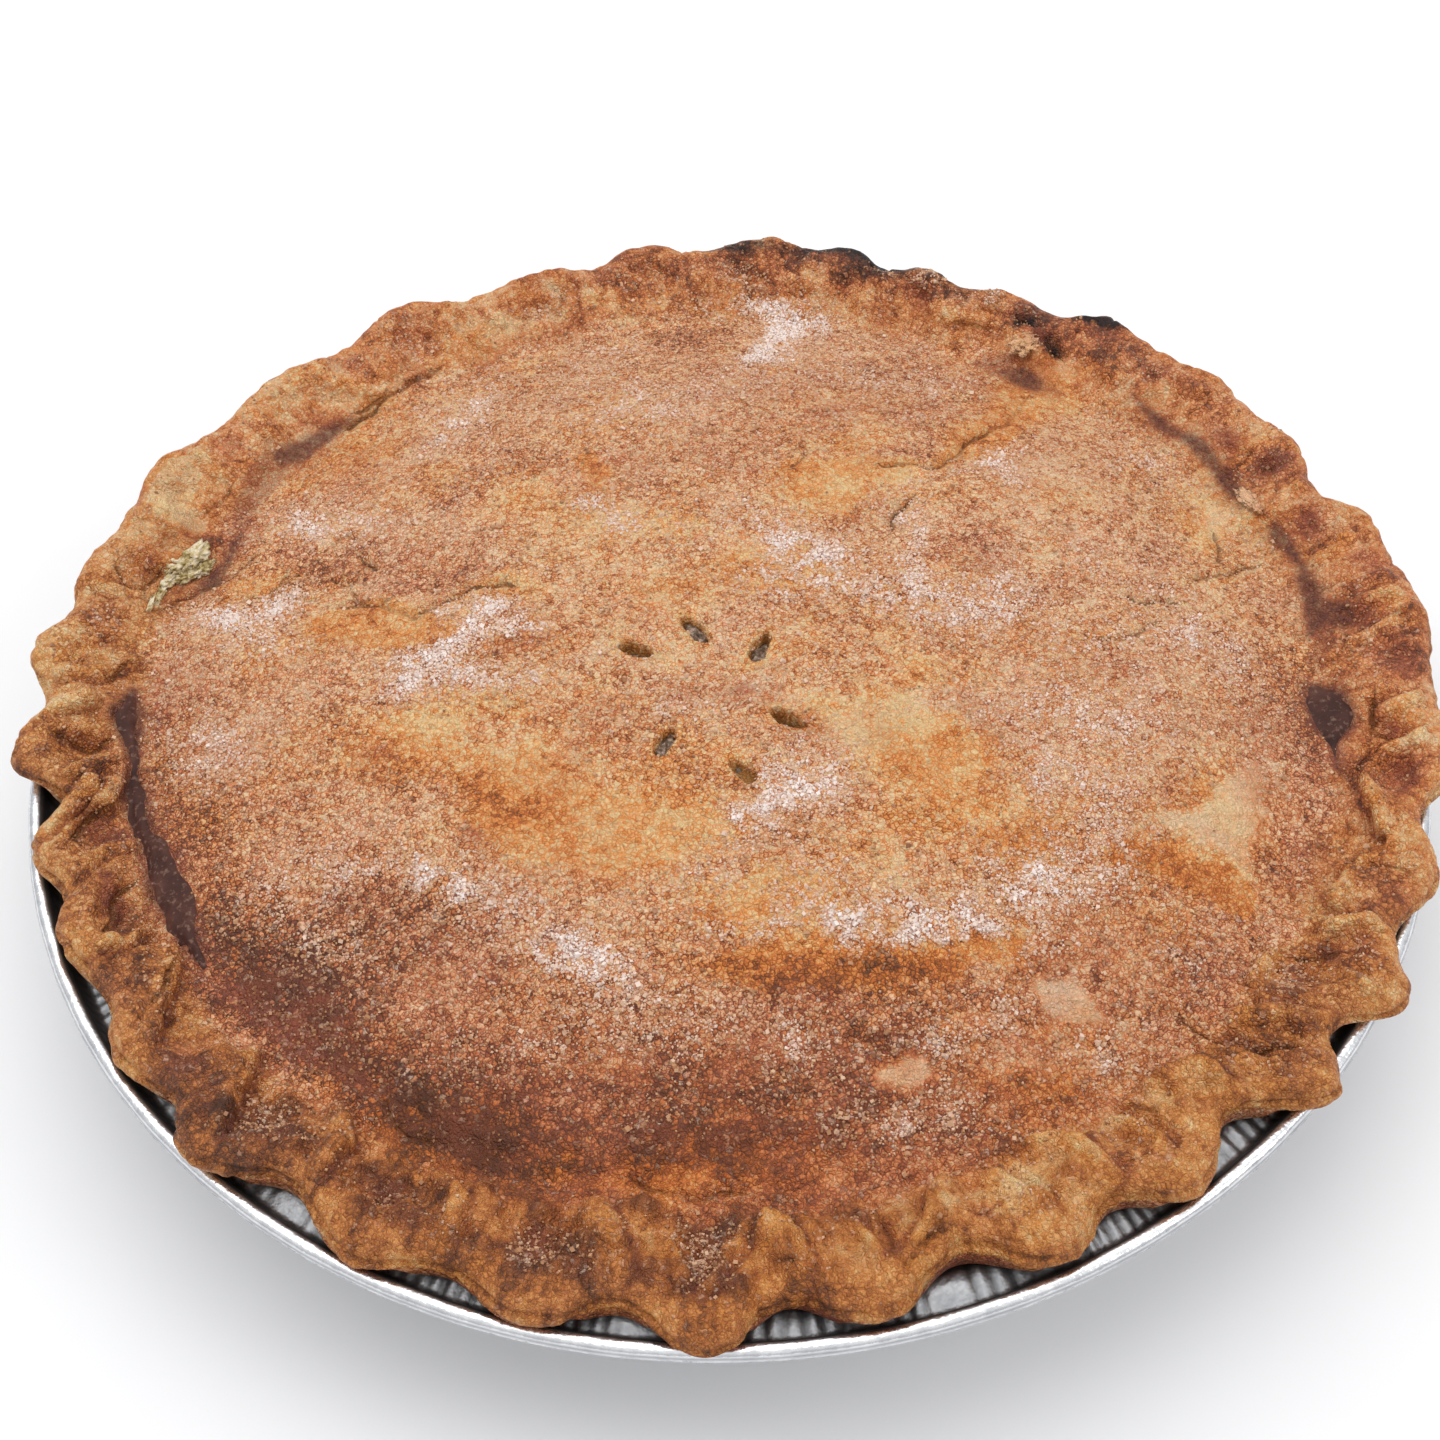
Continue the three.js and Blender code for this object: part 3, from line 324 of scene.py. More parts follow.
# Browner (above 0) and paler (below 0) patches: x, y, half length, half width, turn in degrees, strength
# In the near valley the browner patches are partly painted shade
BAKED = (
    (-104, 20, 5, 16, 10, 0.06), (-96, -12, 5, 22, 8, 0.2), (-94, 45, 5, 5, 0, 0.12),
    (-94, 46, 4, 6, 0, 0.1), (-93, 45, 4, 8, 0, 0.1), (-92, 38, 4, 6, 0, 0.07), (-91, 39, 5, 5, 0, 0.05),
    (-90, -28, 8, 12, 20, 0.12), (-90, 2, 8, 5, 0, 0.1), (-88, -28, 8, 8, 0, 0.12),
    (-88, 53, 4, 6, 0, 0.06), (-87, 55, 5, 5, 0, 0.05), (-86, -41, 5, 6, 0, 0.12),
    (-84, -52, 5, 5, 0, 0.05), (-83, -54, 6, 6, 0, 0.1), (-83, -54, 6, 6, 0, 0.1),
    (-80, -60, 6, 5, 0, 0.08), (-80, -47, 14, 9, -42, 0.4), (-78, 72, 7, 5, 40, 0.06),
    (-77, -61, 5, 4, 0, 0.04), (-76, -60, 12, 8, -35, 0.14), (-74, 33, 11, 6, -10, 0.24),
    (-71, -60, 8, 6, 0, 0.08), (-70, 60, 14, 6, 60, 0.08), (-69, -60, 8, 5, -30, 0.08),
    (-69, -60, 8, 6, 0, 0.08), (-68, -64, 15, 7, -32, 0.34), (-68, -63, 6, 5, 0, 0.04),
    (-68, -63, 6, 5, 0, 0.06), (-64, -56, 18, 7, -20, 0.06), (-64, -54, 14, 8, -30, 0.34),
    (-63, -40, 7, 5, -20, 0.07), (-62, -40, 7, 4, -20, 0.12), (-62, 34, 4, 3, 0, 0.14),
    (-61, -41, 8, 5, -20, 0.08), (-60, -84, 8, 5, 0, 0.1), (-60, -72, 14, 6, -38, 0.22),
    (-56, -46, 8, 5, -20, 0.08), (-56, -20, 16, 4, -18, 0.12), (-56, 24, 6, 5, 0, 0.05),
    (-54, 24, 6, 5, 0, 0.06), (-52, 27, 11, 6, -25, 0.18), (-49, 73, 6, 5, 0, 0.04),
    (-48, -60, 7, 5, -10, 0.07), (-48, -49, 12, 7, -10, 0.26), (-47, -78, 13, 7, -10, 0.3),
    (-46, -88, 8, 5, 0, 0.1), (-46, -50, 6, 4, 0, 0.05), (-44, -89, 9, 6, 0, 0.12),
    (-40, -29, 8, 5, 0, 0.06), (-39, -67, 8, 5, 0, 0.1), (-38, -87, 12, 6, -16, 0.28),
    (-38, -67, 7, 5, 0, 0.06), (-37, 4, 9, 7, -10, 0.14), (-36, -93, 9, 5, 0, 0.08),
    (-33, -31, 6, 6, -40, 0.2), (-32, -32, 6, 5, 0, 0.12), (-31, -35, 6, 5, 0, 0.04),
    (-29, -70, 8, 4, 0, 0.04), (-26, -34, 7, 5, 0, 0.05), (-24, 56, 16, 7, 10, 0.08),
    (-23, 72, 7, 5, 0, 0.04), (-22, -15, 10, 6, -20, 0.1), (-22, 70, 9, 6, 0, 0.05),
    (-20, -73, 8, 4, 0, 0.05), (-18, -86, 22, 9, -6, 0.14), (-15, -40, 8, 4, 0, 0.04),
    (-12, -40, 7, 5, 0, 0.06), (-8, 91, 7, 5, 0, 0.04), (-4, -9, 7, 4, 0, 0.1), (-4, 97, 12, 7, 0, 0.16),
    (-3, 96, 9, 5, 0, 0.08), (-3, 97, 7, 5, 0, 0.05), (2, -64, 24, 4, 0, 0.02), (4, 60, 14, 8, 0, 0.06),
    (6, 84, 6, 5, 0, 0.05), (6, 84, 8, 5, 0, 0.06), (8, 84, 7, 5, 0, 0.05), (12, -70, 18, 7, 4, 0.1),
    (16, -62.5, 22, 3.5, 0, 0.1), (20, -86, 22, 8, 8, 0.1), (24, 119, 7, 4, 0, 0.2),
    (26, -77, 7, 4, 0, 0.05), (30, 77, 8, 6, 0, 0.1), (32, 85, 7, 5, 0, 0.05), (32, 86, 8, 6, 0, 0.07),
    (34, -22, 12, 5, -8, 0.04), (36, 112, 8, 4, 0, 0.2), (40, 66, 10, 8, 50, 0.05), (41, -3, 7, 4, 0, 0.04),
    (42, 76, 12, 10, 0, 0.1), (43, -20.5, 4, 3, 20, 0.1), (44, 22, 5, 9, 0, 0.06), (44, 25, 6, 10, 0, 0.12),
    (47, 5, 7, 5, 0, 0.05), (49, -29, 7, 5, 0, 0.05), (60, 84, 9, 6, -30, 0.2), (64, 4, 16, 8, 0, 0.06),
    (72, -44, 12, 4, -10, 0.16), (74, -60, 10, 6, 30, 0.16), (75, 33, 6, 12, -30, 0.08),
    (76, -29, 3, 4, 40, 0.06), (77, 0, 7, 4, 0, 0.04), (84, -60, 7, 7, 0, 0.1), (88, 13, 6, 6, 0, 0.06),
    (92, -40, 5, 12, 10, 0.16), (92, -32, 3, 8, 0, 0.06), (96, -16, 4, 12, 10, 0.14),
    (96, 4, 4, 14, 0, 0.14), (98, -28, 5, 6, 0, 0.08), (100, -13, 4, 9, 10, 0.14),
    (101, -14, 3, 7, 0, 0.08), (101, -14, 3, 8, 0, 0.2), (102, 1, 4, 6, 0, 0.1), (102, 2, 4, 6, 0, 0.05),
    (107, 47, 5, 5, 0, 0.1), (-92, 76, 6, 6, 0, -0.07), (-91, 78, 7, 5, 0, -0.06),
    (-86.5, 31, 5, 3, -15, -0.14), (-81, 89, 7, 5, 0, -0.08), (-66, 52, 12, 8, 0, -0.04),
    (-60, 78, 14, 8, 40, -0.04), (-58, 8, 8, 5, 0, -0.05), (-50, -10, 7, 5, 0, -0.14),
    (-50, 33, 8, 5, 0, -0.06), (-36, -6, 9, 4, 0, -0.2), (-36, 12, 6, 4, 0, -0.04),
    (-36, 12, 7, 5, 0, -0.05), (-36, 22, 6, 4, 0, -0.05), (-35, 23, 7, 5, 0, -0.06),
    (-25, 25, 14, 8, 0, -0.1), (-20, 66, 9, 8, 0, -0.1), (-15, 0, 8, 4, 0, -0.07),
    (-14, -97, 7, 4, 0, -0.08), (-14, -96, 7, 4, 0, -0.08), (-14, 1, 9, 5, 0, -0.16),
    (-13, -98, 6, 4, 0, -0.05), (-12, 33, 16, 5, -14, -0.16), (-11, 28, 9, 5, 0, -0.06),
    (-10, -38, 14, 6, 0, -0.08), (-8, -99, 8, 5, 0, -0.1), (-6, -3, 6, 4, 0, -0.06),
    (-3, -49, 7, 5, 0, -0.07), (3, 36, 7, 5, 0, -0.05), (4, -6, 16, 5, 0, -0.07), (6, -16, 6, 4, 0, -0.07),
    (7, -8, 7, 5, 0, -0.12), (10, 6, 8, 5, 0, -0.1), (14, -2, 6, 4, 0, -0.07), (15, -17, 6, 4, 0, -0.07),
    (19, -49, 14, 6, 0, -0.2), (21, -20, 4, 5, 0, -0.14), (21, 3, 6, 5, 0, -0.06),
    (22, -104, 7, 5, 0, -0.08), (22, 14, 8, 6, 0, -0.06), (24, -18, 7, 4, 0, -0.06),
    (25, -13, 13, 4, -6, -0.2), (26, -22, 8, 5, 0, -0.07), (27, 43, 10, 6, 0, -0.18),
    (33, -65, 9, 3, 0, -0.07), (33, -63, 9, 3, 0, -0.08), (36, -80, 8, 4, 10, -0.16),
    (36, -60, 9, 5, 0, -0.06), (37, -15, 9, 3.4, 0, -0.16), (39, -80, 6, 4, 0, -0.05),
    (41, -100, 8, 5, 0, -0.07), (44, -14, 7, 6, 0, -0.05), (45, -14, 7, 5, 0, -0.05),
    (46, -76, 8, 4, 20, -0.12), (50, -30, 12, 6, 0, -0.05), (60, -88, 9, 5, 20, -0.07),
    (60, -86, 8, 5, 20, -0.08), (60, 27, 8, 8, 0, -0.12), (65, -41, 6, 4, 0, -0.07),
    (65, -41, 7, 4, 0, -0.09), (68, -31, 6, 5, 0, -0.14), (68, 48, 14, 10, 30, -0.08),
    (75, -30, 7, 5, 0, -0.05), (79, -42, 7, 4, 0, -0.08), (79, -40, 7, 5, 0, -0.07),
    (84, 12, 10, 10, 0, -0.06), (88, 60, 6, 9, 30, -0.12), (92, -57, 6, 6, 0, -0.1),
    (93, -57, 5, 5, 0, -0.06), (95, 45, 6, 14, 20, -0.14), (95, 47, 4, 6, 0, -0.07),
    (99, 38, 5, 6, 0, -0.1), (101, 36, 4, 6, 0, -0.08),
)
GOLDEN = (
    (-98, 42, 6, 9, 0, 0.5), (-86.5, 31, 5, 3, -15, 0.6), (-81, 61, 7, 5, 40, 0.4), (-80, 8, 10, 5, 0, 0.4),
    (-70, 74, 12, 8, 50, 0.4), (-66, 66, 16, 8, 50, 0.5), (-62, 14, 12, 6, -10, 1.0),
    (-57, 52, 9, 6, 0, 0.4), (-52, -18, 20, 6, -18, 0.8), (-50, -10, 7, 5, 0, 0.8),
    (-46, -84, 16, 6, -20, 0.7), (-43, 92, 8, 6, 0, 0.5), (-40, 18, 8, 5, 0, 0.5), (-35, 4, 9, 6, 0, 0.5),
    (-34, -10, 14, 5, 0, 0.4), (-33, -32, 9, 8, -30, 1.6), (-32, -19, 8, 5, 0, 0.3),
    (-31, -33, 7, 5, 0, 1.0), (-30, -21, 7, 4, 0, 0.4), (-28, 40, 14, 8, -20, 0.5),
    (-27, -60, 7, 4, 0, 0.3), (-21, -26, 7, 5, 0, 0.3), (-20, -42, 12, 6, 0, 0.6),
    (-20, -36, 14, 8, 0, 0.5), (-20, 66, 9, 8, 0, 0.5), (-19, -39, 7, 4, 0, 0.4), (-14, 5, 7, 5, 0, 0.3),
    (-14, 32, 12, 4, -14, 0.4), (-12, -36, 16, 7, 0, 0.8), (-10, -92, 26, 6, 0, 0.7),
    (-10, 14, 7, 4, 0, 0.4), (-9, 15, 9, 6, 0, 0.4), (-7, -23, 8, 5, 0, 0.4), (2, -52, 14, 6, 0, 0.6),
    (6, 18, 12, 6, 0, 0.5), (7, -51, 8, 5, 0, 0.4), (7, -51, 12, 5, 0, 0.5), (8, -1, 6, 4, 0, 0.4),
    (8, 23, 8, 6, 0, 0.5), (16, -62, 24, 4, 0, 1.0), (18, 36, 10, 6, 0, 0.4), (20, -14, 12, 6, 0, 0.7),
    (20, 39, 7, 4, 0, 0.3), (22, 42, 12, 5, 0, 1.0), (24, -42, 14, 6, 0, 0.4), (26, 55, 8, 5, 0, 0.6),
    (26, 70, 12, 8, 0, 0.3), (32, -5, 7, 4, 0, 0.4), (34, -33, 8, 5, 0, 0.8), (34, -23, 11, 7, -6, 1.7),
    (37, -5, 8, 5, 0, 0.4), (44, 40, 10, 6, 0, 0.3), (45, 17, 7, 5, 0, 0.4), (46, -36, 10, 7, 0, 0.6),
    (47, -42, 8, 5, 0, 0.3), (48, -58, 7, 5, 0, 0.4), (48, -43, 7, 5, 0, 0.4), (48, 87, 7, 5, 0, 0.4),
    (50, -78, 14, 8, 20, 0.6), (50, 60, 12, 5, 48, 0.7), (58, 2, 12, 5, 0, 0.5), (59, -9, 7, 5, 0, 0.3),
    (60, 74, 10, 6, 60, 0.6), (63, 41, 8, 6, 0, 0.5), (64, 78, 8, 10, 0, 0.6), (64, 80, 8, 6, 0, 0.5),
    (66, -56, 12, 6, 10, 0.4), (74, -43, 12, 5, -10, 0.8), (82, -31, 8, 9, 30, 0.6),
    (90, 38, 6, 10, 0, 0.6), (-78, 39, 6, 4, 0, -0.4), (-62, 72, 6, 4, 0, -0.4), (-47, -4, 7, 4, 0, -0.3),
    (-45, 8, 5, 4, 0, -0.5), (-3, -49, 7, 4, 0, -0.3), (16, -44, 7, 4, 0, -0.2), (35, -62, 6, 3, 0, -0.5),
    (36, -60, 5, 3, 0, -0.4), (55, -76, 7, 4, 0, -0.5),
)
# Where the crust turned reddish
BLUSHED = (
    (0, -10, 9, 5, 0, 0.8), (-22, -15, 9, 6, 0, 0.5), (-96, 0, 5, 18, 6, 0.6), (-37, 4, 9, 7, 0, 0.6),
    (46, 76, 16, 12, 0, 0.6), (12, 76, 16, 12, 0, 0.4), (-10, 50, 18, 5, 0, 0.5), (-66, 64, 14, 8, 30, 0.4),
    (62, -6, 14, 8, 0, 0.4), (44, 26, 6, 10, 0, 0.4), (10, -70, 18, 7, 0, 0.5), (-68, -62, 14, 6, -32, 0.7),
    (-44, -54, 14, 6, -20, 0.4), (90, -12, 9, 14, 0, 0.5), (52, -44, 14, 3, 20, 0.5),
    (94, -42, 6, 12, 0, 0.4), (-42, -35.5, 2.2, 1.2, -60, 1.6), (67, -25, 1.2, 1.4, 0, 1.8),
    (3.6, -7.6, 1.8, 1.2, 20, 1.8), (51, -46, 1.6, 1.2, 0, 1.4), (16, 62, 26, 14, 0, 0.35),
    (-24, 78, 20, 14, 0, 0.3), (72, 56, 10, 16, 40, 0.35), (44, -14, 10, 5, 0, 0.4),
    (-41.4, 20.2, 1.6, 0.8, 0, 1.2), (14, -17, 8, 3, -60, 0.5), (-80, -12, 8, 10, 0, 0.3),
    (28, 66, 10, 8, 0, 0.3), (-101, 42, 5, 8, 0, 0.7), (-102, 8, 4, 8, 0, 0.6), (-103, 30, 4, 8, 0, 0.5),
    (-108, 14, 4, 6, 0, 0.4), (-43, 89, 7, 5, 0, 0.3),
)
SUGARED = (
    (44, 111, 6, 3, -20, 0.7), (57, 103, 5, 3, -25, 0.5), (13.4, 94, 12, 4, 66, 1.3), (9, 85, 4, 3, 0, 0.8),
    (21, 104, 7, 4, 0, 0.7), (-77.6, 47, 5, 4, -30, 0.7), (-48, 72, 18, 6, 66, 0.25),
    (-16, 64, 16, 8, 20, 0.25), (46, -38, 12, 5, 20, 0.2), (62, 2, 16, 8, 0, 0.3), (30, 78, 14, 8, 0, 0.25),
    (-30, -72, 16, 6, 0, 0.25), (12, 108, 10, 4, 0, 0.8), (-66, 42.6, 9, 3.4, -12, 0.5),
    (-79, 26, 3.4, 4, -30, 1.0), (-91, 22.6, 8, 4.4, -14, 0.9), (-80, 13, 9, 6, -10, 0.5),
    (-42, 13.4, 8, 3.2, -20, 1.1), (-33, 7.4, 4, 2.4, -40, 0.6), (-50, 2, 7, 4.6, 20, 0.9),
    (-46, -2.6, 9, 3.4, -10, 0.9), (-30, -4, 6, 3, -10, 0.4), (-88, -8, 9, 6, -30, 0.6),
    (16, 24, 14, 6, -40, 0.9), (9, 16, 6, 5, 0, 0.5), (34.6, 27, 2.4, 13, -4, 0.9),
    (43, 10.6, 12, 5, -6, 0.7), (51, 53, 7, 3, 35, 0.8), (55, 45, 2, 6, 0, 0.6), (48, 17, 8, 3, 0, 0.5),
    (-22, 38, 7, 3, -36, 0.6), (-12, 32, 9, 2.6, -14, 0.5), (60, -13, 16, 8, -10, 0.5),
    (58, -28, 9, 6, 0, 0.6), (86, 6, 8, 9, 20, 0.5), (11.6, -29, 8, 6, 40, 0.9), (4, -35, 8, 4, 10, 0.7),
    (-6, -13, 8, 4, -20, 0.4), (-47, -43.6, 15, 3.4, -22, 0.9), (-68, -37.6, 12, 3.4, -6, 0.3),
    (-24, -59, 10, 3.4, -24, 1.1), (-5, -46, 9, 5, 0, 0.4), (52, -46.5, 18, 5.4, 22, 0.9),
    (25, -56.6, 19, 3, -2, 1.5), (13, -50, 7, 5, 0, 0.5), (7, -73.6, 6, 3, -10, 0.6),
    (29, -74, 5, 3, 10, 0.6), (40, -70, 8, 3, 40, 0.5), (56, -76, 8, 5, 0, 0.4), (72, -58, 10, 6, 30, 0.3),
    (-20, 92, 12, 5, 50, 0.35), (-50, 74, 14, 6, 70, 0.4), (-16, 70, 10, 8, 0, 0.35),
    (-66, -50, 16, 7, -30, 0.34), (26, -86, 10, 4, 0, 0.5), (40, 74, 10, 6, 60, 0.3),
    (-10, -70, 20, 5, 0, 0.25), (0, 108, 20, 3, 0, 0.3), (84, 55, 5, 12, 30, 0.3), (72, 22, 10, 5, 20, 0.3),
    (43, 111, 6, 3, -20, 0.9), (57, 103, 5, 3, -25, 0.9), (-45, 8, 5, 3, 0, 0.4),
)
CHARRED = (
    (79.8, 95, 5, 2.6, -30, 1.0), (63.5, 96, 3, 1.8, -20, 0.9), (68.6, 89.4, 1.6, 2.6, 20, 0.8),
    (34, 118, 10, 2.6, -14, 0.75), (24, 120, 8, 2.6, -10, 0.65), (35, 113, 8, 3, -14, 0.35),
    (66, 96, 6, 3, -30, 0.4), (9, 121, 7, 2.5, 0, 0.35), (51, 104, 7, 3, -25, 0.35),
    (46, 112, 9, 2.4, -24, 0.55), (5, 122, 8, 2.0, 0, 0.45), (56, 107, 5, 2.4, -30, 0.5),
    (72, 99, 6, 3, -30, 0.5), (30, 114, 10, 3, -14, 0.3),
)


def lerp(a, b, share):
    return a + (b - a) * share


def ease(share):
    share = np.clip(share, 0, 1)
    return share * share * (3 - 2 * share)


def nearness(theta):
    """1 on the side nearest the viewer, fading to 0 over about a quarter turn"""
    turn = np.arctan2(np.sin(theta + math.pi / 2), np.cos(theta + math.pi / 2))
    return np.exp(-((turn / math.radians(NEAR_DEGREES)) ** 2))


def flute_at(theta):
    """How far the edge reaches at an angle, and how deep in a notch it is, from 0 to 1"""
    tips, reaches, inner = np.array(FLUTES, float).T
    degrees = (np.degrees(theta) - tips[0]) % 360
    starts = np.append(tips - tips[0], 360)
    index = np.clip(np.searchsorted(starts, degrees, side="right") - 1, 0, len(tips) - 1)
    share = (degrees - starts[index]) / (starts[index + 1] - starts[index])
    notch = np.sin(np.pi * share) ** NOTCH_SHARPNESS
    tip = lerp(reaches[index], np.roll(reaches, -1)[index], ease(share))
    return lerp(tip, inner[index], notch), notch


def lump_height(x, y):
    """Height in mm that the swells, the hollows and the small bumps add at x, y"""
    height = np.zeros_like(x)
    for cx, cy, rise, radius in LUMPS:
        height += rise * np.exp(-((x - cx) ** 2 + (y - cy) ** 2) / radius**2)
    for i in range(BUMP_COUNT):
        r = BUMP_FIELD_R * math.sqrt((i + 0.5) / BUMP_COUNT)
        cx, cy = r * math.cos(i * GOLDEN_ANGLE), r * math.sin(i * GOLDEN_ANGLE)
        rise = BUMP_HEIGHT * math.sin(2.4 * i + 1)
        height += rise * np.exp(-((x - cx) ** 2 + (y - cy) ** 2) / BUMP_R**2)
    return height


def groove_radius(theta):
    return GROOVE_R - GROOVE_NEAR_SHIFT * nearness(theta)


def dome_height(r, theta):
    power = DOME_POWER + DOME_NEAR_POWER * nearness(theta)
    rise = 1 - np.minimum(r / groove_radius(theta), 1) ** power
    return GROOVE_Z + DOME_RISE * (np.hypot(rise, GROOVE_SOFTNESS) - GROOVE_SOFTNESS)


def crest_at(theta):
    reach, notch = flute_at(theta)
    inset = CREST_INSET + CREST_NEAR_INSET * nearness(theta) * (1 - notch)
    wobble = CREST_WOBBLE * (np.sin(5 * theta + 1) + np.sin(13 * theta))
    return reach, notch, inset, CREST_Z + wobble - NOTCH_CREST_DROP * notch


def clear_of_pan(r):
    """Underside of the edge, just clear of the pan's flange and of its rolled bead"""
    flange_top = lerp(28.2, 29.2, np.clip((r - 111.4) / 6, 0, 1))
    climb = np.clip((r - FLANGE_R + 1) / 0.8, 0, 1)
    return lerp(flange_top, PAN_DEPTH + BEAD_R + GAP, climb) + GAP


def dome_point(theta, share):
    r = groove_radius(theta) * share
    return r, dome_height(r, theta) + lump_height(r * np.cos(theta), r * np.sin(theta))


def rim_point(theta, share):
    """From the groove (0) up to the crest (1), dented in each flute and ridged at each notch"""
    reach, notch, inset, crest_z = crest_at(theta)
    r = lerp(groove_radius(theta), reach - inset, share)
    swell = np.sin(math.pi * share)
    dent = DENT_DEPTH * (1 - notch) * swell * swell * share
    lumps = lump_height(r * np.cos(theta), r * np.sin(theta)) * (1 - share)
    return r, lerp(GROOVE_Z, crest_z, ease(share)) - dent + RIDGE_RISE * notch * swell + lumps


def lip_point(theta, share):
    """From the crest (0) round the outside of the lip (0.5) to its underside (1)"""
    reach, notch, inset, crest_z = crest_at(theta)
    middle = np.maximum(crest_z - LIP_DROP, clear_of_pan(reach) + LIP_BELLY)
    if share <= 0.5:
        angle = math.pi * share
        return reach - inset + inset * math.sin(angle), lerp(middle, crest_z, math.cos(angle))
    angle = math.pi * (share - 0.5)
    undercut = lerp(LIP_UNDERCUT, 1, notch)
    foot = reach - undercut
    return foot + undercut * math.cos(angle), lerp(middle, clear_of_pan(foot), math.sin(angle))


def flange_point(theta, share):
    """Underside between the lip's foot and the pan's mouth"""
    foot = lip_point(theta, 1)[0]
    inwards = lerp(foot, PAN_MOUTH_R, lerp(0.2, 0.4, share))
    r = np.minimum(inwards, FLANGE_R - 1 + 0.8 * (1 - share))
    return r, clear_of_pan(r)


def nearest_on(x, y, start, end):
    """How far along from start to end the nearest point lies, from 0 to 1, and its distance in mm"""
    (ax, ay), (bx, by) = start, end
    length = (bx - ax) ** 2 + (by - ay) ** 2
    share = np.clip(((x - ax) * (bx - ax) + (y - ay) * (by - ay)) / length, 0, 1)
    return share, np.hypot(x - lerp(ax, bx, share), y - lerp(ay, by, share))


def stripes(x, y, lines):
    """Distance in mm from the nearest line, less the line's half width there: below 0 inside it"""
    nearest = np.full(x.shape, FAR)
    for points in lines:
        for (*start, start_width), (*end, end_width) in zip(points, points[1:]):
            share, away = nearest_on(x, y, start, end)
            nearest = np.minimum(nearest, away - lerp(start_width, end_width, share))
    return nearest


def patches(x, y, table, crisp=1.3):
    """Sum of soft oval patches: x, y, half length, half width, turn in degrees, strength"""
    total = np.zeros_like(x)
    for cx, cy, long, wide, turn, strength in table:
        c, s = math.cos(math.radians(turn)), math.sin(math.radians(turn))
        along = ((x - cx) * c + (y - cy) * s) / long
        across = ((y - cy) * c - (x - cx) * s) / wide
        total += strength * np.exp(-((along**2 + across**2) ** crisp))
    return total


def ripple(points, size, seed, stretch=(1, 1, 1)):
    """Smooth noise from about -1 to 1 with lumps of about size mm"""
    shifted = points / (size * np.array(stretch)) + seed * 17.3
    return np.array([noise.noise(Vector(p)) for p in shifted.tolist()]) * 1.6


def ring_mesh(name, rings, first, last=None):
    """Joins rings of (count, r and z as arrays) into one surface that starts, and may end, in a point"""
    points, starts, counts = [np.array([[0, 0, first]])], [], []
    total = 1
    for count, place in rings:
        theta = 2 * np.pi * np.arange(count) / count
        r, z = place(theta)
        ring = np.stack([r * np.cos(theta), r * np.sin(theta), z + 0 * theta], 1)
        starts.append(total)
        counts.append(count)
        points.append(ring)
        total += count
    faces = [(0, 1 + i, 1 + (i + 1) % counts[0]) for i in range(counts[0])]
    for start, count, upper, more in zip(starts, counts, starts[1:], counts[1:]):
        if count == more:
            for i in range(count):
                j = (i + 1) % count
                faces.append((start + i, upper + i, upper + j, start + j))
            continue
        i = j = 0
        while i < count or j < more:
            if j < more and (i == count or (j + 1) * count <= (i + 1) * more):
                faces.append((start + i % count, upper + j, upper + (j + 1) % more))
                j += 1
            else:
                faces.append((start + i, upper + j % more, start + (i + 1) % count))
                i += 1
    if last is not None:
        points.append(np.array([[0, 0, last]]))
        end, count = starts[-1], counts[-1]
        faces += [(end + i, total, end + (i + 1) % count) for i in range(count)]
    return make_mesh(name, np.concatenate(points), faces)


def make_mesh(name, points, faces, smooth=True):
    mesh = bpy.data.meshes.new(name)
    mesh.from_pydata((points * MM).tolist(), [], faces)
    mesh.update()
    if smooth:
        mesh.shade_smooth()
    else:
        mesh.shade_flat()
    piece = bpy.data.objects.new(name, mesh)
    bpy.context.scene.collection.objects.link(piece)
    return piece


def read_points(mesh):
    flat = np.empty(3 * len(mesh.vertices))
    mesh.vertices.foreach_get("co", flat)
    return flat.reshape(-1, 3) / MM


def read_normals(mesh):
    flat = np.empty(3 * len(mesh.vertices))
    mesh.vertex_normals.foreach_get("vector", flat)
    return flat.reshape(-1, 3)


def write_points(mesh, points):
    mesh.vertices.foreach_set("co", (points * MM).ravel())
    mesh.update()


def write_field(mesh, name, values):
    mesh.attributes.new(name, "FLOAT", "POINT").data.foreach_set("value", np.asarray(values, np.float32))


def crust_rings():
    """The dome, the edge up to its crest, the lip round to its foot, and the underside down to the base"""
    rings = []
    fine = np.arange(FINE_STEP, FINE_R, FINE_STEP)
    coarse = np.arange(FINE_R + 0.7, GROOVE_R - 0.6, COARSE_STEP)
    for r in np.concatenate([fine, coarse]):
        apart = 0.52 if r < FINE_R else COARSE_STEP
        count = max(6, round(2 * math.pi * r / apart))
        rings.append((count, lambda t, s=r / GROOVE_R: dome_point(t, s)))
    for share in np.linspace(0, 1, 30):
        rings.append((EDGE_COUNT, lambda t, s=share: rim_point(t, s)))
    for share in np.linspace(0, 1, 24)[1:]:
        rings.append((EDGE_COUNT, lambda t, s=share: lip_point(t, s)))
    for share in (0, 1):
        rings.append((420, lambda t, s=share: flange_point(t, s)))
    for r, z in UNDERSIDE:
        rings.append((140, lambda t, r=r, z=z: (r + 0 * t, z)))
    return rings


def flat_place(degrees, r):
    return r * math.cos(math.radians(degrees)), r * math.sin(math.radians(degrees))


def on_edge(lines):
    """Lines given as angle and radius, turned to x and y"""
    return [(first, second, *[flat_place(*place) for place in line]) for first, second, *line in lines]


def edge_spots(table, column):
    """Soft patches round the edge: angle, radius, half length, half width, with the strength in a column"""
    spots = []
    for degrees, r, along, across, *strengths in table:
        spots.append((*flat_place(degrees, r), along, across, degrees + 90, strengths[column]))
    return spots


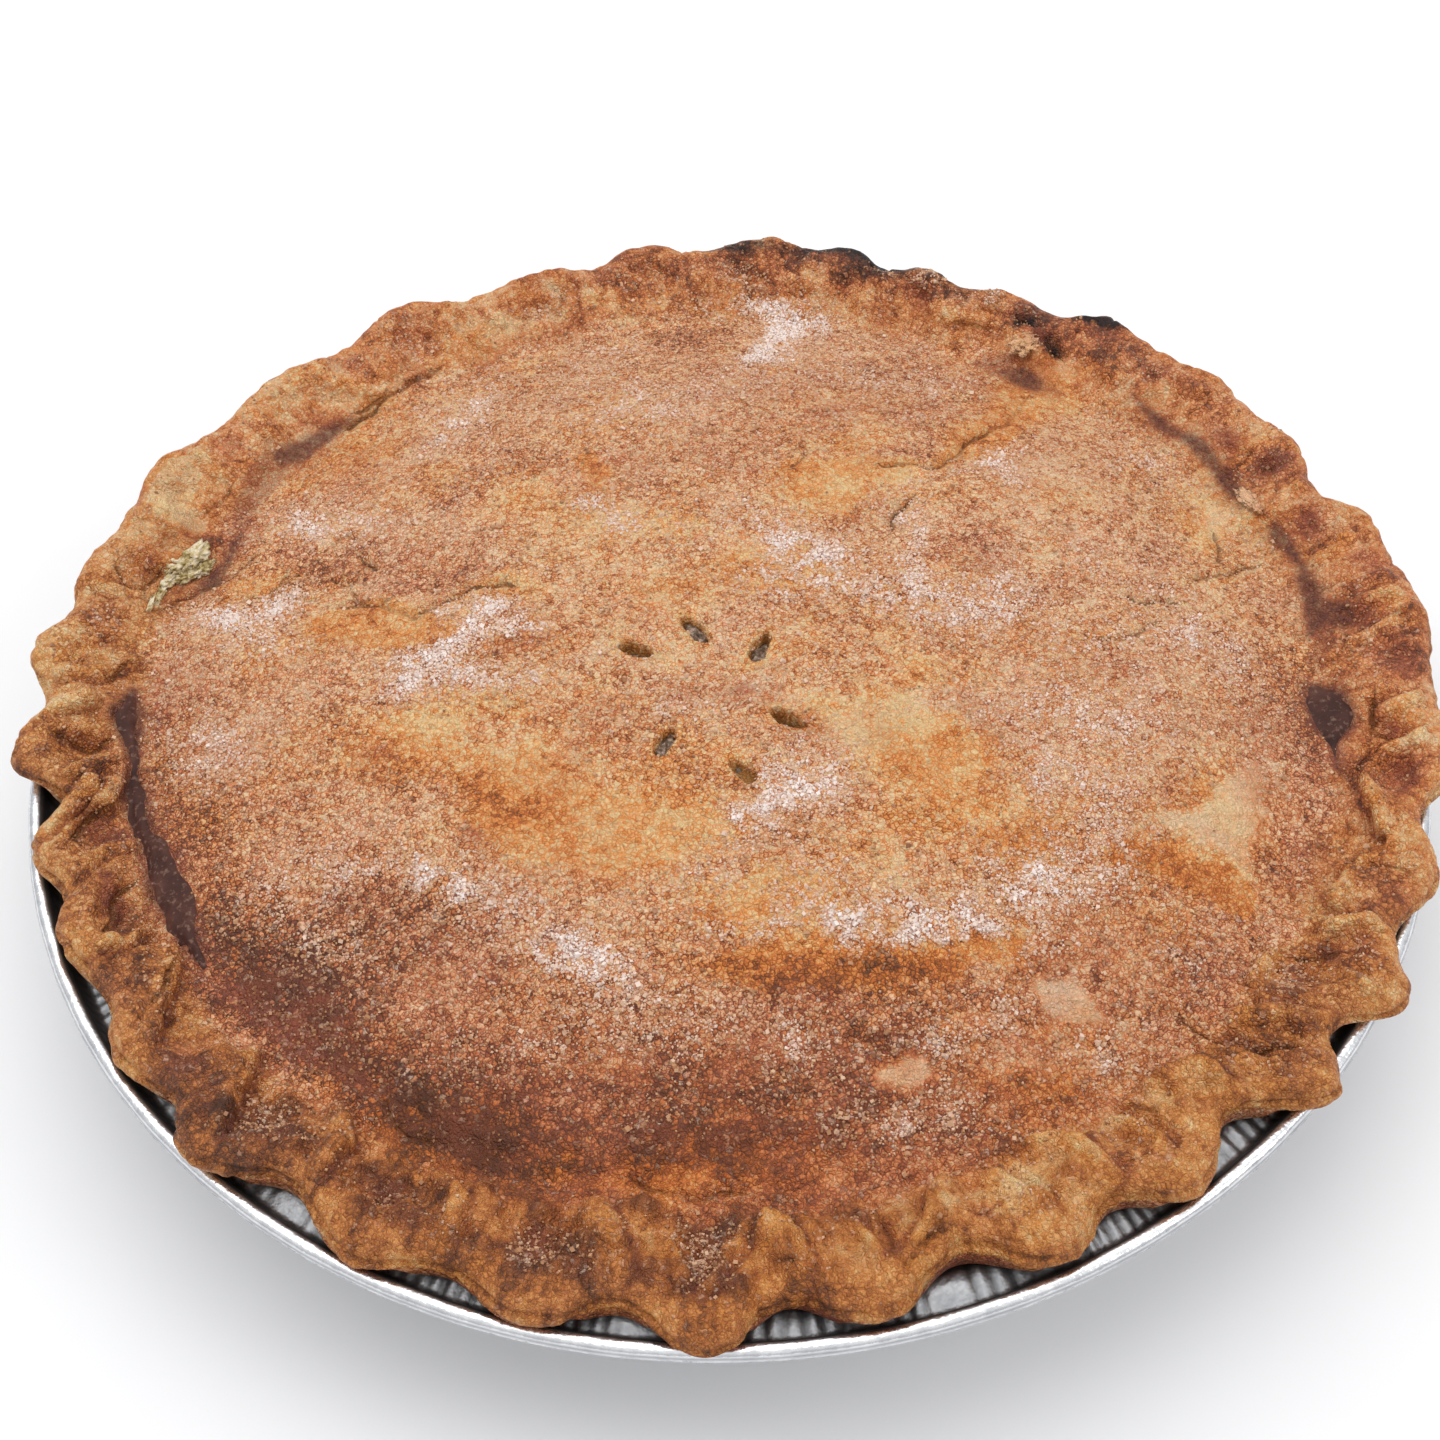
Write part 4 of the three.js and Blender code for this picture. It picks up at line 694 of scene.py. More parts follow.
def beside_line(x, y, line):
    """Distance in mm from a line of x, y points, below 0 on its right-hand side"""
    nearest = np.full(x.shape, FAR)
    for start, end in zip(line, line[1:]):
        _, away = nearest_on(x, y, start, end)
        (ax, ay), (bx, by) = start, end
        side = np.where((bx - ax) * (y - ay) < (by - ay) * (x - ax), -1, 1)
        nearest = np.where(away < np.abs(nearest), away * side, nearest)
    return nearest


def vent_hollow(x, y, ragged):
    """Depth in mm of the slits at x, y, and a soft halo round each one"""
    depth, halo = np.zeros_like(x), np.zeros_like(x)
    for cx, cy, degrees, opened, _ in VENTS:
        c, s = math.cos(math.radians(degrees)), math.sin(math.radians(degrees))
        along = ((x - cx) * c + (y - cy) * s) / (VENT_LENGTH / 2)
        across = ((y - cy) * c - (x - cx) * s) / (VENT_WIDTH / 2)
        inside = 1 - np.sqrt(along**2 + across**2) + 0.16 * ragged
        depth = np.maximum(depth, opened * VENT_DEPTH * ease(inside / 0.28))
        halo = np.maximum(halo, ease((inside + 0.9) / 0.9))
    return depth, halo


top_z = float(dome_point(np.zeros(1), 0)[1][0])
crust = ring_mesh("crust", crust_rings(), top_z, UNDERSIDE[-1][1])
smooth_points = read_points(crust.data)
normals = read_normals(crust.data)
x, y, z = smooth_points.T
radius = np.hypot(x, y)
theta = np.arctan2(y, x)
near = nearness(theta)
reach, notch, inset, crest_z = crest_at(theta)
groove = groove_radius(theta)
across_rim = np.clip((radius - groove) / (reach - inset - groove), 0, 1)
on_top = ((z > 30) & ((normals[:, 2] > 0) | (z > 33.2))).astype(float)

# Noise in several sizes, in mm, that makes the shapes and the colours uneven together
wide = ripple(smooth_points, 22, 1)
broad = ripple(smooth_points, 9, 2)
swirl = ripple(smooth_points, 8, 8)
medium = ripple(smooth_points, 4.2, 3)
fine = ripple(smooth_points, 2.2, 4)
flaky = ripple(smooth_points, 5.5, 5, (1, 1, 0.5))
streak = ripple(np.stack([theta * EDGE_R / 2.2, radius / 7, z / 4], 1), 1, 6)
layers = ripple(np.stack([theta * 95 / 8, radius / 2.3, z / 4], 1), 1, 9)
shift_x = 0.7 * broad + 0.45 * medium + 0.25 * fine
shift_y = 0.7 * swirl + 0.45 * flaky + 0.3 * fine

# Parts of the crust, each from 0 to 1
on_rim = ease((radius - groove + 1.5 + 2.5 * broad + 1.2 * medium) / 6) * on_top
on_lip = ease((radius - (reach - inset)) / 2.5) * on_top
low_lip = on_lip * ease((crest_z - z - 1.0) / 2)
valley = near * ease((radius - 66) / 14) * (1 - on_lip)

# Folds with a tuck beside each, pressed in and darkened with painted shade, and the cracks and creases
folds = np.zeros_like(x)
tuck_and_shade = np.zeros_like(x)
for rise, half_width, *line in on_edge(FOLDS):
    beside = beside_line(x + 0.8 * shift_x, y + 0.8 * shift_y, line)
    folds = np.maximum(folds, rise * np.exp(-((np.abs(beside) / half_width) ** 3)))
    tuck_and_shade = np.maximum(tuck_and_shade, rise * np.exp(-(((beside - 1.25 * half_width) / 0.6) ** 2)))
folds, tuck_and_shade = (height * lerp(0.4, 1, ease((60 - y) / 70)) for height in (folds, tuck_and_shade))
cracks = np.zeros_like(x)
beside_crack = np.zeros_like(x)
split = np.full_like(x, FAR)
gape = np.zeros_like(x)
for half_width, depth, *line in (*CRACKS, *on_edge(CREASES)):
    beside = beside_line(x + 0.8 * shift_x, y + 0.8 * shift_y, line)
    away = np.abs(beside)
    gape = np.where(away < np.abs(split), depth, gape)
    split = np.where(away < np.abs(split), beside, split)
    cracks = np.maximum(cracks, depth * np.exp(-((away / half_width) ** 2)))
    beside_crack = np.maximum(beside_crack, np.exp(-(((away - 1.4) / 1.3) ** 2)))

# Dents and colours of the edge, and the pools of juice
dents = patches(x + shift_x, y + shift_y, edge_spots(DENTS, 0))
browned, dusted, pale_edge = (
    patches(x + 1.6 * shift_x, y + 1.6 * shift_y, spots)
    for spots in (edge_spots(DENTS, 1), edge_spots(DENTS, 2), edge_spots(PALE_EDGE, 0))
)
seam = np.exp(-(((crest_z - z - 2.7 - 0.5 * broad) / 0.42) ** 2)) * on_lip
pool_x, pool_y = x + 0.5 * shift_x, y + 0.5 * shift_y
pool = stripes(pool_x, pool_y, DEEP_POOLS + THIN_POOLS) + 0.4 * medium
under_pool = ease((1.2 - pool) / 2.2)

# Relief in mm along the normals, and the slits cut straight down
wrinkles = np.exp(-((medium / 0.09) ** 2)) * ease(0.5 + 1.2 * swirl) * np.maximum(on_rim, 0.8 * valley)
relief = 0.18 * broad + 0.19 * medium + 0.13 * fine
relief += valley * (0.4 * medium + 0.3 * fine + 0.3 * flaky + 0.5 * layers)
calm = 1 - on_lip * lerp(0.7, 0.45, near)
relief += on_rim * calm * (0.45 * flaky + 0.35 * medium + 0.3 * fine + 0.3 * streak * (1 - 0.6 * on_lip))
relief += (1.8 * folds - tuck_and_shade) * calm - 1.5 * dents * (1 - on_lip) + 0.25 * beside_crack * (1 - on_rim)
relief -= 0.75 * seam * ease(0.75 + 0.5 * wide) + cracks + 0.45 * wrinkles
relief = lerp(relief, -0.3 + 0.12 * broad, under_pool)
vent_depth, vent_halo = vent_hollow(x, y, fine + 0.5 * medium)
vent_depth *= on_top
points = smooth_points + normals * (relief * on_top)[:, None]
points[:, 2] -= vent_depth
write_points(crust.data, points)

# How brown, golden, blushed, sugared, stained and charred the crust is at each point
ragged_x = broad + 1.1 * medium + 0.7 * fine
ragged_y = swirl + 1.1 * flaky + 0.7 * fine
warp_x, warp_y = x + ragged_x, y + ragged_y
bare = ease(1.1 - 1.3 * stripes(x + 0.35 * ragged_x, y + 0.35 * ragged_y, BARE_SPOTS)) * (1 - on_rim)
seams = ease(0.6 - 0.3 * stripes(warp_x, warp_y, GOLD_SEAMS)) * (1 - on_rim)
swell = np.sin(np.pi * across_rim)
baked = 0.272 + 0.07 * wide + 0.06 * broad + 0.07 * medium + patches(warp_x, warp_y, BAKED)
baked += valley * (0.06 * flaky + 0.12 * layers)
# Darker towards the side nearest the viewer: partly deeper browning, partly painted shade where the light
# falls off
baked = lerp(baked + 0.39 * near * ease((radius - 46) / 44) + 0.12 * seams, 0.08, 0.9 * bare)
# The edge too is darker nearest the viewer: partly deeper browning, partly painted shade
edge_baked = 0.385 + 0.08 * (1 - notch) * swell - 0.05 * notch + 0.24 * near
edge_baked += 0.06 * ease(wide) + 0.08 * broad + 0.1 * medium + 0.13 * flaky + 0.2 * wrinkles
# The tucks beside the folds are painted darker: painted shade
edge_baked += 0.26 * browned - 0.22 * pale_edge - 0.07 * folds + 0.22 * tuck_and_shade - 0.07 * streak
lip_baked = 0.46 + 0.07 * flaky - 0.08 * streak - 0.12 * pale_edge
baked = lerp(lerp(baked, edge_baked, on_rim), lip_baked, 0.6 * on_lip)
# The vent_depth term darkens the slits the deeper they go, and the next line darkens the cracks and
# creases: painted shade in these hollows
baked += 0.12 * seam - 0.02 * low_lip + 0.16 * np.minimum(vent_depth, 1.2)
baked += (0.06 + 0.1 * on_rim) * cracks - 0.05 * beside_crack * (1 - on_rim)
gilded = 1.2 * patches(warp_x, warp_y, GOLDEN) + 2 * seams
golden = 0.48 + gilded + 0.3 * wide + 0.3 * beside_crack + 0.8 * vent_halo - 0.2 * bare - 0.1 * valley
golden = lerp(golden, 0.82 + 0.3 * folds + 0.25 * pale_edge - 0.6 * browned + 0.2 * on_lip, on_rim)
blushed = 0.1 + patches(warp_x, warp_y, BLUSHED) + 0.3 * np.clip(broad - wide, 0, 1) + 0.6 * valley
blushed += on_rim * (0.3 + 0.5 * browned - folds) * (1 - on_lip)
sugar_x, sugar_y = x + 1.2 * ragged_x, y + 1.2 * ragged_y
clumps = np.clip(0.85 + 0.45 * medium + 0.55 * fine + 0.3 * flaky, 0.25, 1.2)
heaps = np.minimum(patches(sugar_x, sugar_y, SUGARED, 0.85), 1.15) * clumps
richness = np.clip(gilded, 0, 1.4)
sugared = 0.17 + 0.95 * heaps * (1 - 0.6 * on_rim) - 0.2 * richness
sugared += 0.09 * broad + (0.5 * dusted - 0.1) * on_rim - bare
sugared = np.clip(sugared, 0, 0.95) * (1 - under_pool) * (1 - on_lip) * on_top * (1 - ease(vent_depth))
soaks = (
    ease((2.4 - pool + 0.9 * broad + 0.5 * medium) / 3),
    0.3 * ease((6 - pool + broad) / 6),
    0.6 * ease(0.5 - 0.5 * stripes(x + shift_x, y + shift_y, STAINS)),
    0.65 * ease(1.2 * browned - 0.22 + 0.3 * medium) * on_rim,
    # the tucks beside the folds: painted shade
    0.4 * tuck_and_shade * on_rim,
)
stained = np.maximum.reduce(soaks) * on_top
charred = patches(warp_x, warp_y, CHARRED) * on_rim
charred += 0.25 * on_lip * ease((theta - 0.95) / 0.2) * ease((1.75 - theta) / 0.25)
bready = 0.12 + 0.4 * ease((40 - y - 0.4 * x) / 80) - 0.3 * browned
grainy = 1.5 - (0.65 + 0.15 * near) * on_rim - 0.75 * bare - 0.3 * on_lip - 0.5 * valley - 0.45 * richness
crazed = np.clip(ease((7 - np.abs(split)) / 6) + 0.4 * ease(0.6 - 2 * wide), 0.15, 1)
gaping = ease((2.2 - np.abs(split)) / 1.2) * np.clip(gape - 0.25 + 0.3 * broad, 0, 1)
fields = {
    "baked": baked,
    "golden": golden,
    "blushed": blushed,
    "sugared": sugared,
    "stained": stained,
    "charred": charred,
    "doughy": np.maximum(0.6 * low_lip, on_rim * bready),
    "edge": on_rim,
    "grainy": grainy,
    "crazed": lerp(crazed, 0.2, on_rim),
    # painted shade down the slits and in the cracks
    "sunken_shade": ease(vent_depth / 1.5) + 0.25 * ease(cracks * on_top),
}
fields = {field: np.clip(values, 0, 2) for field, values in fields.items()}
fields["split"] = np.clip(split, -3, 3)
fields["gaping"] = gaping * (1 - on_lip) * on_top
for field, values in fields.items():
    write_field(crust.data, field, values)


def linear(text, alpha=1):
    """An sRGB hex colour as linear RGBA"""
    parts = [int(text[i : i + 2], 16) / 255 for i in (1, 3, 5)]
    return (*[p / 12.92 if p <= 0.04045 else ((p + 0.055) / 1.055) ** 2.4 for p in parts], alpha)


def per_mm(size):
    """Scale of a pattern in object coordinates whose cells are size mm across"""
    return 1000 / size


def add(tree, kind, inputs=(), stops=(), **settings):
    """One node with its settings, its ramp's stops, and a value or a link for each input"""
    item = tree.nodes.new("ShaderNode" + kind)
    for name, value in settings.items():
        setattr(item, name, value)
    for socket, value in dict(inputs).items():
        if isinstance(value, bpy.types.NodeSocket):
            tree.links.new(value, item.inputs[socket])
        else:
            item.inputs[socket].default_value = value
    if stops:
        ramp = item.color_ramp
        while len(ramp.elements) < len(stops):
            ramp.elements.new(0.5)
        for element, (position, colour) in zip(ramp.elements, stops):
            element.position = position
            element.color = colour
    return item


def new_material(name):
    material = bpy.data.materials.new(name)
    material.use_nodes = True
    tree = material.node_tree
    tree.nodes.clear()
    surface = add(tree, "BsdfPrincipled")
    add(tree, "OutputMaterial", {"Surface": surface.outputs[0]})
    return material, tree, surface


def summed(tree, start, *parts):
    """start, plus each pattern times its weight"""
    for pattern, weight in parts:
        start = add(tree, "Math", {0: pattern, 1: weight, 2: start}, operation="MULTIPLY_ADD").outputs[0]
    return start


def shortcrust():
    # Baked shortcrust pastry: a dry, sandy surface, golden to reddish brown, with a faint buttery sheen
    material, tree, surface = new_material("baked_shortcrust")
    where = add(tree, "TexCoord").outputs["Object"]
    field = {name: add(tree, "Attribute", attribute_name=name).outputs["Fac"] for name in fields}

    # Blotches of 7 mm, flakes of 4 mm and grain of 1.8 mm
    blotches = add(tree, "TexNoise", {"Vector": where, "Scale": per_mm(7), "Detail": 3, "Roughness": 0.6})
    flakes = add(tree, "TexNoise", {
        "Vector": where, "Scale": per_mm(4), "Detail": 3, "Roughness": 0.62, "Distortion": 0.6,
    })
    grains = add(tree, "TexNoise", {"Vector": where, "Scale": per_mm(1.8), "Detail": 3, "Roughness": 0.7})
    hues = add(tree, "SeparateColor", {0: blotches.outputs[1]}).outputs
    bend = add(tree, "VectorMath", {0: grains.outputs[1], "Scale": 1.8 * MM}, operation="SCALE").outputs[0]

    # Dough pulled outwards over the edge wrinkles into strands about 1 mm wide and 6 mm long
    flat = add(tree, "VectorMath", {0: where, 1: (1, 1, 0)}, operation="MULTIPLY").outputs[0]
    outwards = add(tree, "VectorMath", {0: flat}, operation="LENGTH").outputs[1]
    outwards = add(tree, "Math", {0: outwards, 1: 0.17}, operation="MULTIPLY").outputs[0]
    outwards = add(tree, "CombineXYZ", {2: outwards}).outputs[0]
    around = add(tree, "VectorMath", {0: flat}, operation="NORMALIZE").outputs[0]
    around = add(tree, "VectorMath", {0: around, "Scale": EDGE_R * MM}, operation="SCALE").outputs[0]
    nudge = add(tree, "Math", {0: bend, 1: 0.5}, operation="MULTIPLY").outputs[0]
    pulled = add(tree, "VectorMath", {0: around, 1: outwards}).outputs[0]
    pulled = add(tree, "VectorMath", {0: pulled, 1: nudge}).outputs[0]
    strands = add(tree, "TexNoise", {
        "Vector": pulled, "Scale": per_mm(1.5), "Detail": 3, "Roughness": 0.6,
    }).outputs[0]

    # The same patterns as swings both ways from 0
    scatters = add(tree, "SeparateColor", {0: grains.outputs[1]}).outputs[2]
    patterns = (blotches.outputs[0], *hues, flakes.outputs[0], grains.outputs[0], scatters, strands)
    blotch, craze, gilding, blushing, flake, grain, scatter, strand = (
        add(tree, "Math", {0: pattern, 1: 0.5}, operation="SUBTRACT").outputs[0] for pattern in patterns
    )

    # Crumbs 0.8 mm across, each of its own tone, with a dark gap round it: painted shade between the crumbs
    bent = add(tree, "VectorMath", {0: where, 1: bend}).outputs[0]
    crumb = {"Vector": bent, "Scale": per_mm(0.8)}
    gap = add(tree, "TexVoronoi", crumb, feature="DISTANCE_TO_EDGE").outputs[0]
    crumb_colour = add(tree, "TexVoronoi", crumb).outputs["Color"]
    shade, share, tint = add(tree, "SeparateColor", {0: crumb_colour}).outputs
    gap_shade = add(tree, "MapRange", {"Value": gap, "From Max": 0.2, "To Min": 0.3, "To Max": -0.05}).outputs[0]
    shade = add(tree, "MapRange", {"Value": shade, "To Min": -0.28, "To Max": 0.12}).outputs[0]
    crumbs = summed(tree, gap_shade, (shade, 1), (grain, 0.65))

    # Hairline cracks: the edges of uneven flakes some 6 mm across, where the crust is crazed, drawn darker
    # as painted shade along the flake edges
    hair = {"Vector": bent, "Scale": per_mm(6)}
    hair = add(tree, "TexVoronoi", hair, feature="DISTANCE_TO_EDGE").outputs[0]
    hair = add(tree, "MapRange", {
        "Value": hair, "From Min": 0.005, "From Max": 0.05, "To Min": 1, "To Max": 0,
    }).outputs[0]
    for strength in (field["crazed"], summed(tree, 0.6, (craze, 3))):
        hair = add(tree, "Math", {0: hair, 1: strength}, operation="MULTIPLY", use_clamp=True).outputs[0]

    # The larger cracks are thin dark lines of uneven width
    crack = add(tree, "Math", {0: field["split"]}, operation="ABSOLUTE").outputs[0]
    crack = add(tree, "MapRange", {
        "Value": summed(tree, crack, (grain, 1)), "From Min": 0.12, "From Max": 0.46,
        "To Min": 1, "To Max": 0,
    }).outputs[0]
    crack = add(tree, "Math", {0: crack, 1: field["gaping"]}, operation="MULTIPLY").outputs[0]

    # How brown it is at each point, and the colours that this gives in pale, golden and doughy places
    rough_edge = summed(tree, 0, (flake, 0.5), (strand, 0.5))
    # The hairline cracks darken it: painted shade
    brown = summed(tree, field["baked"], (blotch, 0.6), (crumbs, field["grainy"]), (hair, 0.3))
    brown = summed(tree, brown, (rough_edge, field["edge"]))
    pale = add(tree, "ValToRGB", {0: brown}, [
        (0.0, linear("#F0D0AC")), (0.2, linear("#ECB98F")), (0.4, linear("#E1996D")),
        (0.56, linear("#CD7A50")), (0.72, linear("#9F5B3E")), (0.86, linear("#774632")),
        (1.0, linear("#583528")),
    ]).outputs[0]
    gilt = add(tree, "ValToRGB", {0: brown}, [
        (0.0, linear("#EDCB94")), (0.22, linear("#EAB074")), (0.42, linear("#E5934A")),
        (0.6, linear("#CC6E2E")), (0.75, linear("#985626")), (0.88, linear("#6F4022")),
        (1.0, linear("#54311F")),
    ]).outputs[0]
    dough = add(tree, "ValToRGB", {0: brown}, [
        (0.0, linear("#EED29C")), (0.25, linear("#E0B170")), (0.45, linear("#CB8C47")),
        (0.62, linear("#A86C31")), (0.78, linear("#7E4B25")), (1.0, linear("#4C2F1E")),
    ]).outputs[0]
    golden = summed(tree, -0.03, (field["golden"], 1), (gilding, 2.15), (grain, 0.75))
    golden = add(tree, "Math", {0: golden, 1: 0.75}, operation="MULTIPLY").outputs[0]
    blushed = summed(tree, 0.3, (blushing, 1.5))
    blushed = add(tree, "Math", {0: field["blushed"], 1: blushed}, operation="MULTIPLY").outputs[0]

    # Sugar that half melted into the crust: the more of it, the more crystals in the surface are pale
    melted = summed(tree, 0.025, (field["sugared"], 0.8), (blotch, 0.375), (scatter, 0.7), (share, -1))
    melted = add(tree, "MapRange", {
        "Value": melted, "From Min": -0.08, "From Max": 0.22, "To Max": 0.85,
    }).outputs[0]
    between = add(tree, "MapRange", {"Value": gap, "From Min": 0.01, "From Max": 0.14, "To Min": 0.15})
    thickness = add(tree, "MapRange", {"Value": field["sugared"], "From Max": 0.5, "To Min": 0.5})
    for cover in (between, thickness):
        melted = add(tree, "Math", {0: melted, 1: cover.outputs[0]}, operation="MULTIPLY").outputs[0]
    crystal = add(tree, "ValToRGB", {0: tint}, [
        (0.0, linear("#E2A87C")), (0.5, linear("#ECC09C")), (1.0, linear("#F5DCC8")),
    ]).outputs[0]
    white = add(tree, "MapRange", {"Value": field["sugared"], "From Min": 0.4, "From Max": 1.1}).outputs[0]
    crystal = add(tree, "Mix", {0: white, 6: crystal, 7: linear("#F0E2DE")}, data_type="RGBA").outputs[2]

    # Juice that soaked in, and char
    soaked = add(tree, "ValToRGB", {0: field["stained"]}, [
        (0.0, linear("#A65C42")), (0.6, linear("#8A4A38")), (1.0, linear("#663A30")),
    ]).outputs[0]
    stained = summed(tree, 0.85, (grain, 0.75))
    stained = add(tree, "Math", {0: field["stained"], 1: stained}, operation="MULTIPLY").outputs[0]
    burnt = add(tree, "MapRange", {
        "Value": summed(tree, field["charred"], (grain, 1.5)), "From Min": 0.15, "From Max": 0.85,
    }).outputs[0]

    tone = pale
    for amount, colour in (
        (golden, gilt),
        (blushed, linear("#AE5A3C")),
        (field["doughy"], dough),
        (melted, crystal),
        (stained, soaked),
        (summed(tree, 0, (crack, 0.75)), linear("#6C3A1A")),
        # Painted shade down the slits and in the cracks
        (summed(tree, 0, (field["sunken_shade"], 0.8)), linear("#8A5E26")),
        (burnt, linear("#2E1F1B")),
    ):
        tone = add(tree, "Mix", {0: amount, 6: tone, 7: colour}, data_type="RGBA").outputs[2]
    tree.links.new(tone, surface.inputs["Base Color"])
    gloss = summed(tree, 0.6, (grain, 0.6), (field["edge"], -0.08), (field["stained"], -0.12))
    tree.links.new(gloss, surface.inputs["Roughness"])
    surface.inputs["IOR"].default_value = 1.46
    surface.inputs["Specular IOR Level"].default_value = 0.4

    # Heights in mm: the grain, the gaps between crumbs, the flakes, the cracks and the strands
    wrinkled = add(tree, "Math", {0: strands, 1: field["edge"]}, operation="MULTIPLY").outputs[0]
    height = summed(tree, 0, (grain, 0.85), (gap, 0.8), (flake, 0.85), (crack, -0.5), (wrinkled, 0.75))
    bumpy = add(tree, "Bump", {"Distance": MM, "Height": height}).outputs[0]
    tree.links.new(bumpy, surface.inputs["Normal"])
    return material


def sugar_grain():
    # Coarse white sugar: clear crystals that scatter light and take a little of the crust's colour
    material, tree, surface = new_material("sugar_crystals")
    tint = add(tree, "Attribute", attribute_name="tint").outputs["Fac"]
    tone = add(tree, "ValToRGB", {0: tint}, [
        (0.0, linear("#F2E6E0")), (0.3, linear("#E8D0C0")), (0.6, linear("#DAB290")),
        (0.8, linear("#C4926A")), (1.0, linear("#9C6C4C")),
    ]).outputs[0]
    tree.links.new(tone, surface.inputs["Base Color"])
    surface.inputs["Roughness"].default_value = 0.4
    surface.inputs["IOR"].default_value = 1.56
    surface.inputs["Specular IOR Level"].default_value = 0.35
    return material


def baked_juice():
    # Fruit juice boiled down to a dark brown toffee: smooth, with a soft gloss and a few dull spots
    material, tree, surface = new_material("baked_on_juice")
    where = add(tree, "TexCoord").outputs["Object"]
    cloud, crystals = (
        add(tree, "TexNoise", {
            "Vector": where, "Scale": per_mm(size), "Detail": detail, "Roughness": roughness,
        }).outputs[0]
        for size, detail, roughness in ((6, 4, 0.55), (1, 3, 0.6))
    )
    tone = add(tree, "ValToRGB", {0: cloud}, [
        (0.3, linear("#361C17")), (0.5, linear("#482820")), (0.7, linear("#644034")),
    ]).outputs[0]
    specks = add(tree, "MapRange", {
        "Value": crystals, "From Min": 0.54, "From Max": 0.7, "To Max": 0.5,
    }).outputs[0]
    tone = add(tree, "Mix", {0: specks, 6: tone, 7: linear("#927464")}, data_type="RGBA").outputs[2]
    tree.links.new(tone, surface.inputs["Base Color"])
    dull = add(tree, "MapRange", {
        "Value": crystals, "From Min": 0.3, "From Max": 0.7, "To Min": 0.4, "To Max": 0.65,
    }).outputs[0]
    tree.links.new(dull, surface.inputs["Roughness"])
    surface.inputs["IOR"].default_value = 1.48
    surface.inputs["Specular IOR Level"].default_value = 0.2
    soft = add(tree, "Bump", {"Strength": 0.6, "Distance": 0.0008, "Height": cloud}).outputs[0]
    pitted = add(tree, "Bump", {"Strength": 0.4, "Distance": 0.0003, "Height": crystals, "Normal": soft})
    tree.links.new(pitted.outputs[0], surface.inputs["Normal"])
    return material


def cooked_apple():
    # Apple cooked soft in thick juice: greyish brown and wet, seen deep in the vents
    material, tree, surface = new_material("cooked_apple")
    where = add(tree, "TexCoord").outputs["Object"]
    pulp = add(tree, "TexNoise", {"Vector": where, "Scale": per_mm(1.2), "Detail": 4, "Roughness": 0.7})
    tone = add(tree, "ValToRGB", {0: pulp.outputs[0]}, [
        (0.34, linear("#3A2C20")), (0.5, linear("#6E5844")), (0.66, linear("#BCA698")),
    ]).outputs[0]
    tree.links.new(tone, surface.inputs["Base Color"])
    surface.inputs["Roughness"].default_value = 0.25
    surface.inputs["IOR"].default_value = 1.4
    wet = add(tree, "Bump", {"Strength": 0.6, "Distance": 0.0005, "Height": pulp.outputs[0]}).outputs[0]
    tree.links.new(wet, surface.inputs["Normal"])
    return material


def torn_apple():
    # Bits of apple and dough squeezed out at the edge: cream to pale green, dry on top
    material, tree, surface = new_material("torn_apple")
    where = add(tree, "TexCoord").outputs["Object"]
    pulp = add(tree, "TexNoise", {"Vector": where, "Scale": per_mm(2), "Detail": 4, "Roughness": 0.7})
    tone = add(tree, "ValToRGB", {0: pulp.outputs[0]}, [
        (0.36, linear("#7E683C")), (0.45, linear("#AC965E")), (0.52, linear("#CEBA92")),
        (0.62, linear("#E6DCC2")),
    ]).outputs[0]
    tree.links.new(tone, surface.inputs["Base Color"])
    surface.inputs["Roughness"].default_value = 0.5
    surface.inputs["IOR"].default_value = 1.4
    rough = add(tree, "Bump", {"Strength": 0.5, "Distance": 0.0005, "Height": pulp.outputs[0]}).outputs[0]
    tree.links.new(rough, surface.inputs["Normal"])
    return material


def pressed_foil():
    # Aluminium foil pressed into a pan: mirror bright, with fine rolling marks and small crinkles
    material, tree, surface = new_material("pressed_aluminium_foil")
    where = add(tree, "TexCoord").outputs["Object"]
    crinkle = add(tree, "TexNoise", {"Vector": where, "Scale": per_mm(3.5), "Detail": 3, "Roughness": 0.6})
    rolled = add(tree, "TexNoise", {"Vector": where, "Scale": per_mm(0.8), "Detail": 2})
    tone = add(tree, "ValToRGB", {0: crinkle.outputs[0]}, [
        (0.3, linear("#D6D8DC")), (0.7, linear("#F2F3F5")),
    ]).outputs[0]
    # Painted shade: the foil is mixed towards dark grey over the flange, more in its pleat grooves, and in
    # the seam where the bead is rolled over, where light hardly gets in
    foil_shade_share = add(tree, "Attribute", attribute_name="foil_painted_shade").outputs["Fac"]
    shade = add(tree, "Mix", {0: foil_shade_share, 6: tone, 7: linear("#2C2D2F")}, data_type="RGBA").outputs[2]
    tree.links.new(shade, surface.inputs["Base Color"])
    surface.inputs["Metallic"].default_value = 1
    haze = add(tree, "MapRange", {"Value": rolled.outputs[0], "To Min": 0.14, "To Max": 0.36}).outputs[0]
    haze = add(tree, "Math", {0: foil_shade_share, 1: 0.3, 2: haze}, operation="MULTIPLY_ADD").outputs[0]
    tree.links.new(haze, surface.inputs["Roughness"])
    dented = add(tree, "Bump", {"Strength": 0.45, "Distance": 0.0007, "Height": crinkle.outputs[0]})
    tree.links.new(dented.outputs[0], surface.inputs["Normal"])
    return material


crust_material = shortcrust()
crust.data.materials.append(crust_material)

